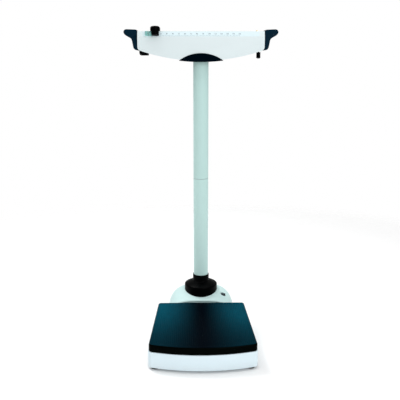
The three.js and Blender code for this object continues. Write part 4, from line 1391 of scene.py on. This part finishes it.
@dataclass
class Head:
    """The white housing of the beam: two covers, a saddle, two grips and the printed scale."""

    half: float = 210.0 * MM
    bottom_radius: float = 640.0 * MM
    corner: float = 12.0 * MM
    wall: float = 3.0 * MM
    band_z: float = 1000.0 * MM  # above this height the face leans back
    lean: float = 7.0 * MM
    edge: float = 2.2 * MM
    frame_x: tuple[float, ...] = (196.0 * MM, 204.0 * MM)  # the fine grooves near the ends
    groove: float = 0.6 * MM
    lock_hole: float = 8.2 * MM
    lock_hole_top: float = 962.0 * MM
    tare_slot_left: float = -230.0 * MM
    tare_slot_half: float = 20.0 * MM
    tare_slot_top: float = 981.3 * MM
    tare_slot_past: float = 16.0 * MM  # room to the right of the tare weight
    top_corner: float = 0.4 * MM
    top_zone: float = 0.5 * MM  # edges this near the top stay sharp
    hollow_past: float = 10.0 * MM
    groove_share: float = 0.8  # of the groove's width that it is deep
    groove_stop: float = 1.0 * MM  # below the band
    saddle_room: float = 60.0 * MM
    saddle_drop: float = 20.0 * MM  # room below the saddle's tips
    saddle_edge: float = 1.2 * MM
    column_bore: float = 26.3 * MM
    column_bore_foot: float = 900.0 * MM
    column_bore_top: float = 960.5 * MM
    grip_foot: float = 958.0 * MM
    grip_foot_x: float = 215.0 * MM
    grip_edge: float = 3.0 * MM
    grip_steps: int = 8
    grip_shoulder: tuple[float, float] = (2.2 * MM, 1022.6 * MM)  # out from the inner side, height
    grip_inner_top: float = 1018.5 * MM
    facing: float = 0.8  # least that the normal of a front or rear face points along Y
    strip_inset: float = 2.0 * MM
    strip_sheet: float = 0.4 * MM
    strip_margin: float = 4.0 * MM
    strip_corner: float = 1.5 * MM
    strip_lift: float = 0.02 * MM
    rule_foot: float = 0.4 * MM
    rule_short: float = 3.0 * MM
    rule_long: float = 4.6 * MM
    number_size: float = 4.6 * 1.35 * MM
    number_rise: float = 6.6 * MM
    number_lift: float = 0.06 * MM
    number_sheet: float = 0.04 * MM
    last_value: int = 150
    number_step: int = 10
    division: float = 2.0 * MM  # one kilogram on the scale

    def __post_init__(self) -> None:
        """Reads the head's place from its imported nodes."""
        self.low, self.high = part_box("head_front_cover")
        self.rear_low, self.rear_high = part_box("head_rear_cover")
        self.middle_y = (self.low.y + self.rear_high.y) / 2
        window_low, window_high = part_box("reading_window")
        self.zero_x = (window_low.x + window_high.x) / 2
        self.slope = self.lean / (self.high.z - self.band_z)
        self.outward = Vector((0, -1, self.slope)).normalized()
        self.upward = Vector((0, self.slope, 1)).normalized()

    def build(self) -> None:
        """Makes everything that the head shows from outside."""
        for face in Face:
            self._cover(face)
        self._saddle()
        for side in ("left", "right"):
            self._cap(side)
        self._strip()
        self._numbers()

    def _cover(self, face: Face) -> None:
        """Makes one cover: a bowed tray, open at the top and towards the middle.

        Args:
            face: Which way it looks.
        """
        mesh = self._tray(0.0, 0.0, self.high.y)
        Bench.soften(mesh, self.edge, 4, 60.0, self._on_face_edge)
        hollow = self._tray(self.wall, self.hollow_past, self.high.y + self.hollow_past)
        for tray in (mesh, hollow):
            self._lean_back(tray)
            if face is Face.REAR:
                self._flip(tray)
        piece = Bench.put_away(f"cover_{face.name.lower()}", mesh, WHITE_SHELL, 30.0)
        Bench.carve(piece, [hollow] + self._openings() + self._grooves(face))
        Bench.fit(piece, "base", "white_shell", f"head_{face.name.lower()}_cover")

    def _tray(self, inset: float, above: float, rear_y: float) -> bmesh.types.BMesh:
        """Extrudes the head's front outline to the back.

        Args:
            inset: How far the outline and the front are drawn in.
            above: How far the top is raised.
            rear_y: Where the extrusion ends.

        Returns:
            The closed mesh, cut across where the face starts to lean.
        """
        outline = BowedOutline(
            self.half - inset,
            self.half - inset,
            self.low.z,
            self.high.z + above,
            self.low.z + inset,
            self.bottom_radius - inset,
            self.corner - inset,
            self.top_corner,
        )
        front_y = self.low.y + inset
        points = [Vector((x, front_y, z)) for x, z in outline.points(64, 8)]
        return Bench.slab(points, Vector((0, rear_y - front_y, 0)))

    def _lean_back(self, mesh: bmesh.types.BMesh) -> None:
        """Leans the front above the band's lower edge towards the back."""
        bmesh.ops.bisect_plane(
            mesh,
            geom=mesh.verts[:] + mesh.edges[:] + mesh.faces[:],
            plane_co=(0, 0, self.band_z),
            plane_no=(0, 0, 1),
        )
        for vertex in mesh.verts:
            if vertex.co.y < self.low.y + 2 * self.edge:
                vertex.co.y += max(0.0, vertex.co.z - self.band_z) * self.slope

    def _flip(self, mesh: bmesh.types.BMesh) -> None:
        """Turns a front tray into a rear one.

        Args:
            mesh: The tray, which is changed.
        """
        bmesh.ops.scale(mesh, vec=(1, -1, 1), verts=mesh.verts)
        bmesh.ops.translate(mesh, vec=(0, 2 * self.middle_y, 0), verts=mesh.verts)
        bmesh.ops.recalc_face_normals(mesh, faces=mesh.faces)

    def _on_face_edge(self, edge: bmesh.types.BMEdge) -> bool:
        """True round the outer face, except along its top.

        Args:
            edge: The edge to judge.

        Returns:
            Whether it is rounded.
        """
        ends = [vertex.co for vertex in edge.verts]
        outer = all(abs(end.y - self.low.y) < MERGE for end in ends)
        return outer and not all(end.z > self.high.z - self.top_zone for end in ends)

    def _openings(self) -> list[bmesh.types.BMesh]:
        """The room for the saddle, and the openings for the two knobs under the ends."""
        arch = [Vector((x, self.middle_y - self.saddle_room, z)) for x, z in self._arch(GAP)]
        lock = Vector((centre_of("lock_knob").x, self.middle_y, 0))
        return [
            Bench.slab(arch, Vector((0, 2 * self.saddle_room, 0))),
            self._tare_slot(),
            Bench.post(self.lock_hole, self.low.z - CUT_PAST, self.lock_hole_top, lock),
        ]

    def _tare_slot(self) -> bmesh.types.BMesh:
        """The opening under the left end through which the tare knob is reached."""
        _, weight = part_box("tare_weight")
        half = self.tare_slot_half
        low = Vector((self.tare_slot_left, self.middle_y - half, self.low.z - CUT_PAST))
        high = Vector((weight.x + self.tare_slot_past, self.middle_y + half, self.tare_slot_top))
        return Bench.block(low, high)

    def _grooves(self, face: Face) -> list[bmesh.types.BMesh]:
        """The fine upright grooves near both ends of a cover's face.

        Args:
            face: Which way the cover looks.

        Returns:
            The cutters.
        """
        outer_y = self.low.y if face is Face.FRONT else self.rear_high.y
        half, depth = self.groove / 2, self.groove * self.groove_share
        foot, top = self.low.z - CUT_PAST, self.band_z - self.groove_stop
        return [
            Bench.block(
                Vector((side * place - half, outer_y - depth, foot)),
                Vector((side * place + half, outer_y + depth, top)),
            )
            for place in self.frame_x
            for side in (-1, 1)
        ]

    def _arch(self, grow: float, rise: float = 24.0 * MM, drop: float = 4.5 * MM) -> Profile:
        """The saddle's front outline.

        Args:
            grow: The clearance round it; above 0 the outline also runs down past the covers.
            rise: How far the crest is above the tips.
            drop: How far the belly is below the tips.

        Returns:
            The outline in X and Z.
        """
        low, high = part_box("head_saddle")
        half = (high.x - low.x) / 2 + grow
        tip = high.z - rise
        upper = ((half - grow) ** 2 + rise * rise) / (2 * rise) + grow
        turn = math.degrees(math.asin(half / upper))
        crest = arc((0.0, high.z + grow - upper), upper, 90 - turn, 90 + turn, 48)
        if grow > 0:
            foot = tip - self.saddle_drop
            return [(half, foot)] + crest + [(-half, foot)]
        lower = (half * half + drop * drop) / (2 * drop)
        bend = math.degrees(math.asin(half / lower))
        return crest + arc((0.0, tip - drop + lower), lower, -90 - bend, -90 + bend, 48)[1:-1]

    def _saddle(self) -> None:
        """Makes the crescent that joins the column to the head."""
        low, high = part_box("head_saddle")
        outline = [Vector((x, low.y, z)) for x, z in self._arch(0.0)]
        mesh = Bench.slab(outline, Vector((0, high.y - low.y, 0)))

        def on_face(edge: bmesh.types.BMEdge) -> bool:
            """True round the front and the rear face of the saddle."""
            start, end = (vertex.co for vertex in edge.verts)
            return abs(start.y - end.y) < SAME_PLACE

        Bench.soften(mesh, self.saddle_edge, 3, 60.0, on_face)
        piece = Bench.put_away("saddle", mesh, SADDLE_PLASTIC, 30.0)
        place = Vector((0, self.middle_y, 0))
        bore = Bench.post(self.column_bore, self.column_bore_foot, self.column_bore_top, place, 96)
        Bench.carve(piece, [bore])
        Bench.fit(piece, "base", "black_plastic", "head_saddle")

    def _cap(self, side: str) -> None:
        """Makes the hook-shaped grip at one end.

        Args:
            side: "left" or "right".
        """
        node = f"end_cap_{side}"
        low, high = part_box(node)
        mirror = -1.0 if side == "left" else 1.0
        outline = [Vector((mirror * x, low.y, z)) for x, z in self._cap_outline()]
        mesh = Bench.slab(outline, Vector((0, high.y - low.y, 0)))
        geom = mesh.verts[:] + mesh.edges[:] + mesh.faces[:]
        bmesh.ops.bisect_plane(mesh, geom=geom, plane_co=(0, 0, self.band_z), plane_no=(0, 0, 1))
        for vertex in mesh.verts:
            inward = 1.0 if vertex.co.y < self.middle_y else -1.0
            vertex.co.y += inward * max(0.0, vertex.co.z - self.band_z) * self.slope

        def on_rim(edge: bmesh.types.BMEdge) -> bool:
            """True round the front and the rear face of the cap."""
            return sum(abs(face.normal.y) > self.facing for face in edge.link_faces) == 1

        Bench.soften(mesh, self.grip_edge, 5, 50.0, on_rim)
        piece = Bench.put_away(f"grip_{side}", mesh, CAP_PLASTIC, 30.0)
        if side == "left":
            Bench.carve(piece, [self._tare_slot()])
        Bench.fit(piece, "base", "cap_plastic", node)

    def _cap_outline(self) -> Profile:
        """The right grip's front outline, from its foot round the hook to its top."""
        inner = self.half + GAP
        points = [(inner, self.grip_foot), (self.grip_foot_x, self.grip_foot)]
        for control, end in GRIP_BENDS:
            start = Vector((*points[-1], 0))
            middle = Vector((*control, 0)) * MM
            stop = Vector((*end, 0)) * MM
            for step in range(1, self.grip_steps + 1):
                t = step / self.grip_steps
                point = start * (1 - t) ** 2 + middle * (2 * t * (1 - t)) + stop * t * t
                points.append((point.x, point.y))
        out, shoulder = self.grip_shoulder
        return points + [(inner + out, shoulder), (inner, self.grip_inner_top)]

    def _strip(self) -> None:
        """Makes the printed scale on the leaning band."""
        reach = self.frame_x[0] - self.strip_margin
        foot = Vector((0, self.low.y, self.band_z))
        foot += self.upward * self.strip_inset + self.outward * self.strip_lift
        tall = (self.high.z - self.band_z) * math.hypot(1, self.slope) - 2 * self.strip_inset
        outline = self._lozenge(reach, tall, self.strip_corner)
        corners = [foot + Vector((x, 0, 0)) + self.upward * z for x, z in outline]
        ground = self.band_z + self.strip_inset
        printed = RuledFinish(
            "scale_print",
            (0.8, 0.95, 1.0),
            0.3,
            specular=0.2,
            drift=0.01,
            zero=self.zero_x,
            step=self.division,
            foot=ground + self.rule_foot,
            short_top=ground + self.rule_short,
            long_top=ground + self.rule_long,
            start=self.zero_x - self.division / 2,
            stop=self.zero_x + (self.last_value + 0.5) * self.division,
        )
        mesh = Bench.slab(corners, self.outward * self.strip_sheet)
        Bench.fit(Bench.put_away("scale_strip", mesh, printed), "base", "white_shell")

    @staticmethod
    def _lozenge(half: float, tall: float, corner: float) -> Profile:
        """A rectangle with round corners, from 0 up to `tall`.

        Args:
            half: Half its width.
            tall: Its height.
            corner: The corners' radius.

        Returns:
            The corners in order.
        """
        points = arc((half - corner, corner), corner, -90, 0, 5)
        points += arc((half - corner, tall - corner), corner, 0, 90, 5)
        points += arc((-half + corner, tall - corner), corner, 90, 180, 5)
        return points + arc((-half + corner, corner), corner, 180, 270, 5)

    def _numbers(self) -> None:
        """Puts a number over each tenth division, from 0 to 150."""
        turn = Matrix((Vector((1, 0, 0)), self.upward, self.outward)).transposed().to_4x4()
        rise = self.upward * (self.strip_inset + self.number_rise)
        rise += self.outward * (self.strip_sheet + self.number_lift)
        joined = bmesh.new()
        for value in range(0, self.last_value + 1, self.number_step):
            curve = bpy.data.curves.new("number", "FONT")
            curve.body = str(value)
            curve.size = self.number_size
            curve.align_x = "CENTER"
            curve.extrude = self.number_sheet
            curve.resolution_u = 3
            letters = bpy.data.objects.new("number", curve)
            bpy.context.scene.collection.objects.link(letters)
            bpy.context.view_layer.update()
            flat = bpy.data.meshes.new_from_object(letters)
            foot = Vector((self.zero_x + value * self.division, self.low.y, self.band_z))
            flat.transform(Matrix.Translation(foot + rise) @ turn)
            joined.from_mesh(flat)
            bpy.data.objects.remove(letters)
            bpy.data.curves.remove(curve)
            bpy.data.meshes.remove(flat)
        Bench.fit(Bench.put_away("scale_numbers", joined, NUMBER_INK), "base", "black_plastic")


# ------------------------------------------------------------------ beam and controls


# How far the tare knob's left end is drawn in from its radius, and where, in millimetres.
ROLLER_NOSE = ((6.0, 0.0), (3.4, 1.0), (1.5, 3.0), (0.4, 5.2), (0.0, 7.0))


@dataclass
class Beam:
    """The notched bar with its two sliding weights and the tare weight under its left end."""

    zero_x: float = -150.0 * MM
    reach: float = 150.5 * MM
    division: float = 2.0 * MM
    rule_foot: float = 1004.0 * MM
    rule_short: float = 1008.0 * MM
    rule_long: float = 1011.0 * MM
    bar_edge: float = 0.35 * MM
    weight_edge: float = 0.9 * MM
    neck: float = 12.3 * MM
    neck_top: float = 9.6 * MM
    neck_foot: float = 1.5 * MM  # rounding under the neck
    neck_fillet: float = 1.2 * MM
    fillet_z: float = 10.2 * MM
    brim_round: float = 1.4 * MM
    brim_z: float = 13.6 * MM
    crown: float = 7.0 * MM
    crown_power: float = 0.55
    window_corner: float = 1.6 * MM
    window_edge: float = 0.3 * MM
    line_half: float = 0.25 * MM
    line_proud: float = 0.05 * MM
    line_deep: float = 0.2 * MM
    line_margin: float = 1.0 * MM
    tare_bore: float = 2.8 * MM
    roller_edge: float = 1.0 * MM
    nut_edge: float = 0.8 * MM
    knurls: int = 40
    knurl_depth: float = 0.35 * MM
    knurl_from: float = 0.2 * MM  # in from the outer radius
    knob_flutes: int = 24

    def build(self) -> None:
        """Makes the pieces of the beam that show."""
        self._bar()
        self._weights()
        self._knob()
        self._window()
        self._tare()

    def _bar(self) -> None:
        """Makes the bar with softened edges and engraved divisions."""
        mesh = Bench.copy_of("beam")
        Bench.soften(mesh, self.bar_edge, 2, 60.0)
        engraved = RuledFinish(
            "beam_brass",
            (0.6, 0.44, 0.18),
            0.3,
            metallic=1.0,
            grain_stretch=(0.04, 1.0, 1.0),
            zero=self.zero_x,
            step=self.division,
            foot=self.rule_foot,
            short_top=self.rule_short,
            long_top=self.rule_long,
            start=-self.reach,
            stop=self.reach,
        )
        Bench.fit(Bench.put_away("notched_bar", mesh, engraved, 30.0), "beam", "beam_brass", "beam")

    def _weights(self) -> None:
        """Makes the two sliding weights with rounded castings."""
        for node, name, body, finish, slot in (
            ("large_poise", "main_weight", "large_poise", POISE_PAINT, "poise_paint"),
            ("fine_poise", "fine_weight", "fine_poise", BRASS, "beam_brass"),
        ):
            mesh = Bench.copy_of(node)
            Bench.soften(mesh, self.weight_edge, crease=50.0)
            Bench.fit(Bench.put_away(name, mesh, finish, 30.0), body, slot, node)

    def _knob(self) -> None:
        """Makes the mushroom grip of the main weight, flat behind."""
        low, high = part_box("poise_knob")
        radius = (high.x - low.x) / 2
        neck, neck_foot, base, crown = self.neck, self.neck_foot, low.z, high.z - self.crown
        place = Vector(((low.x + high.x) / 2, low.y + radius, 0.0))
        profile = [(0.0, base), (neck - neck_foot, base)]
        profile += arc((neck - neck_foot, base + neck_foot), neck_foot, -75, 0, 4)
        profile += [(neck, base + self.neck_top)]
        profile += arc((neck + self.neck_fillet, base + self.fillet_z), self.neck_fillet, 180, 100, 4)
        profile += arc((radius - self.brim_round, base + self.brim_z), self.brim_round, -70, 0, 4)
        for angle in map(math.radians, range(0, 86, 8)):
            reach = radius * math.cos(angle) ** self.crown_power
            profile.append((reach, crown + self.crown * math.sin(angle)))
        profile += [(0.0, high.z)]
        mesh = Bench.turned(profile, place, steps=96)
        bmesh.ops.bisect_plane(
            mesh,
            geom=mesh.verts[:] + mesh.edges[:] + mesh.faces[:],
            plane_co=(0, high.y, 0),
            plane_no=(0, 1, 0),
            clear_outer=True,
        )
        bmesh.ops.holes_fill(mesh, edges=[e for e in mesh.edges if e.is_boundary], sides=0)
        piece = Bench.put_away("weight_grip", mesh, BLACK_PLASTIC, 40.0)
        Bench.fit(piece, "large_poise", "black_plastic", "poise_knob")

    def _window(self) -> None:
        """Makes the tinted window and the hairline engraved in it."""
        low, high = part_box("reading_window")
        centre = (low + high) / 2
        outline = Head._lozenge((high.x - low.x) / 2, high.z - low.z, self.window_corner)
        corners = [Vector((centre.x + x, low.y, low.z + z)) for x, z in outline]
        mesh = Bench.slab(corners, Vector((0, high.y - low.y, 0)))
        Bench.soften(mesh, self.window_edge, 2, 60.0)
        pane = Bench.put_away("window_pane", mesh, WINDOW_TINT, 30.0)
        Bench.fit(pane, "large_poise", "window_tint", "reading_window")
        left, right = centre.x - self.line_half, centre.x + self.line_half
        line_low = Vector((left, low.y - self.line_proud, low.z + self.line_margin))
        line_high = Vector((right, low.y + self.line_deep, high.z - self.line_margin))
        mesh = Bench.block(line_low, line_high)
        hairline = Bench.put_away("window_hairline", mesh, HAIRLINE_PAINT)
        Bench.fit(hairline, "large_poise", "poise_paint")

    def _knurled(self, mesh: bmesh.types.BMesh, centre: Vector, from_radius: float, count: int) -> None:
        """Ripples the outer wall of a shape turned about X.

        Args:
            mesh: The shape.
            centre: A point on its axis.
            from_radius: The radius past which it is rippled.
            count: Ripples in a turn.
        """
        for vertex in mesh.verts:
            across = Vector((0.0, vertex.co.y - centre.y, vertex.co.z - centre.z))
            if across.length > from_radius:
                angle = math.atan2(across.z, across.y)
                pull = self.knurl_depth * (0.5 - 0.5 * math.cos(count * angle))
                vertex.co -= across.normalized() * pull

    def _tare(self) -> None:
        """Makes the knurled tare knob and its weight."""
        low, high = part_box("tare_knob")
        centre = (low + high) / 2
        radius = (high.z - low.z) / 2
        half = (high.x - low.x) / 2
        profile = [(self.tare_bore, -half)]
        profile += [(radius - inset * MM, -half + along * MM) for inset, along in ROLLER_NOSE]
        profile += [(radius, half - self.roller_edge), (radius - self.roller_edge, half)]
        profile += [(self.tare_bore, half), (self.tare_bore, -half)]
        mesh = Bench.turned(profile, centre, "X", 4 * self.knurls)
        self._knurled(mesh, centre, radius - self.knurl_from, self.knurls)
        roller = Bench.put_away("tare_roller", mesh, BLACK_PLASTIC, 25.0)
        Bench.fit(roller, "tare_knob", "black_plastic", "tare_knob")
        low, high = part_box("tare_weight")
        centre = (low + high) / 2
        half = (high.x - low.x) / 2
        radius = (high.z - low.z) / 2
        ring = rounded(radius, -half, half, self.nut_edge, self.tare_bore)
        mesh = Bench.turned(ring, centre, "X", 4 * self.knob_flutes)
        self._knurled(mesh, centre, radius - self.knurl_from, self.knob_flutes)
        nut = Bench.put_away("tare_nut", mesh, BRASS, 25.0)
        Bench.fit(nut, "tare_weight", "beam_brass", "tare_weight")


@dataclass
class LockKnob:
    """The push knob under the right end of the head that locks the beam."""

    stem: float = 3.0 * MM
    stem_edge: float = 0.5 * MM
    nose_inset: float = 3.5 * MM
    nose_rise: float = 0.5 * MM
    nose_round: float = 4.0 * MM
    ring: float = 0.6 * MM
    ring_z: float = 7.0 * MM
    ring_pitch: float = 2.6 * MM
    ring_edge: float = 0.5 * MM
    ring_floor: float = 0.6 * MM
    rings: int = 4
    shoulder: float = 21.0 * MM
    shoulder_edge: float = 1.0 * MM

    def build(self) -> None:
        """Turns the knob with its grip rings and its stem."""
        low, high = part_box("lock_knob")
        radius = (high.x - low.x) / 2
        shoulder, stem, edge = low.z + self.shoulder, self.stem, self.ring_edge
        nose = (radius - self.nose_round, low.z + self.nose_rise + self.nose_round)
        profile = [(0.0, low.z), (radius - self.nose_inset, low.z + self.nose_rise)]
        profile += arc(nose, self.nose_round, -70, 0, 6)
        for number in range(self.rings):
            z = low.z + self.ring_z + self.ring_pitch * number
            profile += [(radius, z), (radius - self.ring, z + edge)]
            profile += [(radius - self.ring, z + edge + self.ring_floor)]
            profile += [(radius, z + 2 * edge + self.ring_floor)]
        profile += [(radius, shoulder - self.shoulder_edge), (radius - self.shoulder_edge, shoulder)]
        profile += [(stem, shoulder), (stem, high.z - self.stem_edge)]
        profile += [(stem - self.stem_edge, high.z), (0.0, high.z)]
        mesh = Bench.turned(profile, foot_of("lock_knob"), steps=64)
        button = Bench.put_away("lock_button", mesh, BLACK_PLASTIC)
        Bench.fit(button, "lock_knob", "black_plastic", "lock_knob")


# ------------------------------------------------------------------ the works inside


class Works:
    """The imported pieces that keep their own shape, each with its finish."""

    FINISHES = {
        "long_lever": LEVER_IRON,
        "short_lever": LEVER_IRON,
        "platform_plate": PLATED_STEEL,
        "column_bracket": PLATED_STEEL,
        "coupling_sleeve": PLATED_STEEL,
        "beam_rail": PLATED_STEEL,
        "pull_rod": PLATED_STEEL,
    }

    def dress(self) -> None:
        """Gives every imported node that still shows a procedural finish."""
        for name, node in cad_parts.items():
            if node.hide_render:
                continue
            finish = self.FINISHES.get(name, GROUND_STEEL)
            node.data.materials.clear()
            node.data.materials.append(finish.material())
            log.info("%s keeps its shape, in %s", name, finish.name)


# ------------------------------------------------------------------ studio


@dataclass
class Studio:
    """A pale floor, soft light and the camera."""

    eye: tuple[float, float, float] = (-0.0362, -1.937, 0.918)
    gaze: tuple[float, float, float] = (0.01644, 0.97524, -0.22056)
    lens: float = 54.72
    sensor: float = 36.0
    shift: float = -0.0018
    ambient: float = 0.5
    floor_size: float = 2.2
    aim_height: float = 0.45

    def build(self) -> None:
        """Sets the floor, the light and the camera."""
        self._camera()
        self._floor()
        self._light("key", Vector((-1.3, 1.1, 3.0)), 0.9, 40.0)
        self._light("overhead", Vector((0.0, 0.2, 3.6)), 3.0, 62.0)
        self._light("front", Vector((1.4, -2.9, 1.6)), 2.0, 32.0)
        self._world()

    def _camera(self) -> None:
        """Places the camera in front, a little above the middle."""
        data = bpy.data.cameras.new("camera")
        data.lens = self.lens
        data.sensor_width = self.sensor
        data.shift_x = self.shift
        camera = bpy.data.objects.new("camera", data)
        bpy.context.scene.collection.objects.link(camera)
        camera.location = self.eye
        camera.rotation_euler = Vector(self.gaze).to_track_quat("-Z", "Y").to_euler()
        bpy.context.scene.camera = camera

    def _floor(self) -> None:
        """Lays a pale floor."""
        mesh = bmesh.new()
        bmesh.ops.create_grid(mesh, x_segments=1, y_segments=1, size=self.floor_size)
        floor = Bench.put_away("floor", mesh, FLOOR_PAINT)

    def _light(self, name: str, place: Vector, size: float, power: float) -> None:
        """Hangs a square soft light that looks at the scale.

        Args:
            name: The light's name.
            place: Where it hangs.
            size: The side of the square.
            power: Its power in watts.
        """
        data = bpy.data.lights.new(name, "AREA")
        data.size = size
        data.energy = power
        light = bpy.data.objects.new(name, data)
        bpy.context.scene.collection.objects.link(light)
        light.location = place
        sight = Vector((0, 0, self.aim_height)) - place
        light.rotation_euler = sight.to_track_quat("-Z", "Y").to_euler()

    def _world(self) -> None:
        """Surrounds the scale with a white backdrop that lights it only dimly."""
        graph = Graph(bpy.data.worlds.new("studio"))
        seen = graph.node("ShaderNodeLightPath").outputs["Is Camera Ray"]
        strength = graph.node("ShaderNodeMapRange", inputs={"Value": seen, "To Min": self.ambient})
        inputs = {"Color": (1.0, 1.0, 1.0, 1.0), "Strength": strength.outputs["Result"]}
        background = graph.node("ShaderNodeBackground", inputs=inputs)
        graph.node("ShaderNodeOutputWorld", inputs={0: background.outputs[0]})
        bpy.context.scene.world = graph.owner
        bpy.context.scene.view_settings.view_transform = "Standard"


def main() -> None:
    """Builds the scale, sub-assembly by sub-assembly."""
    logging.basicConfig(level=logging.INFO, format="%(name)s: %(message)s")
    Studio().build()
    Platform().build()
    BasePan().build()
    housing = ColumnHousing()
    housing.build()
    ColumnFoot().build(housing)
    Column().build()
    Head().build()
    Beam().build()
    LockKnob().build()
    Works().dress()


if __name__ == "__main__":
    main()
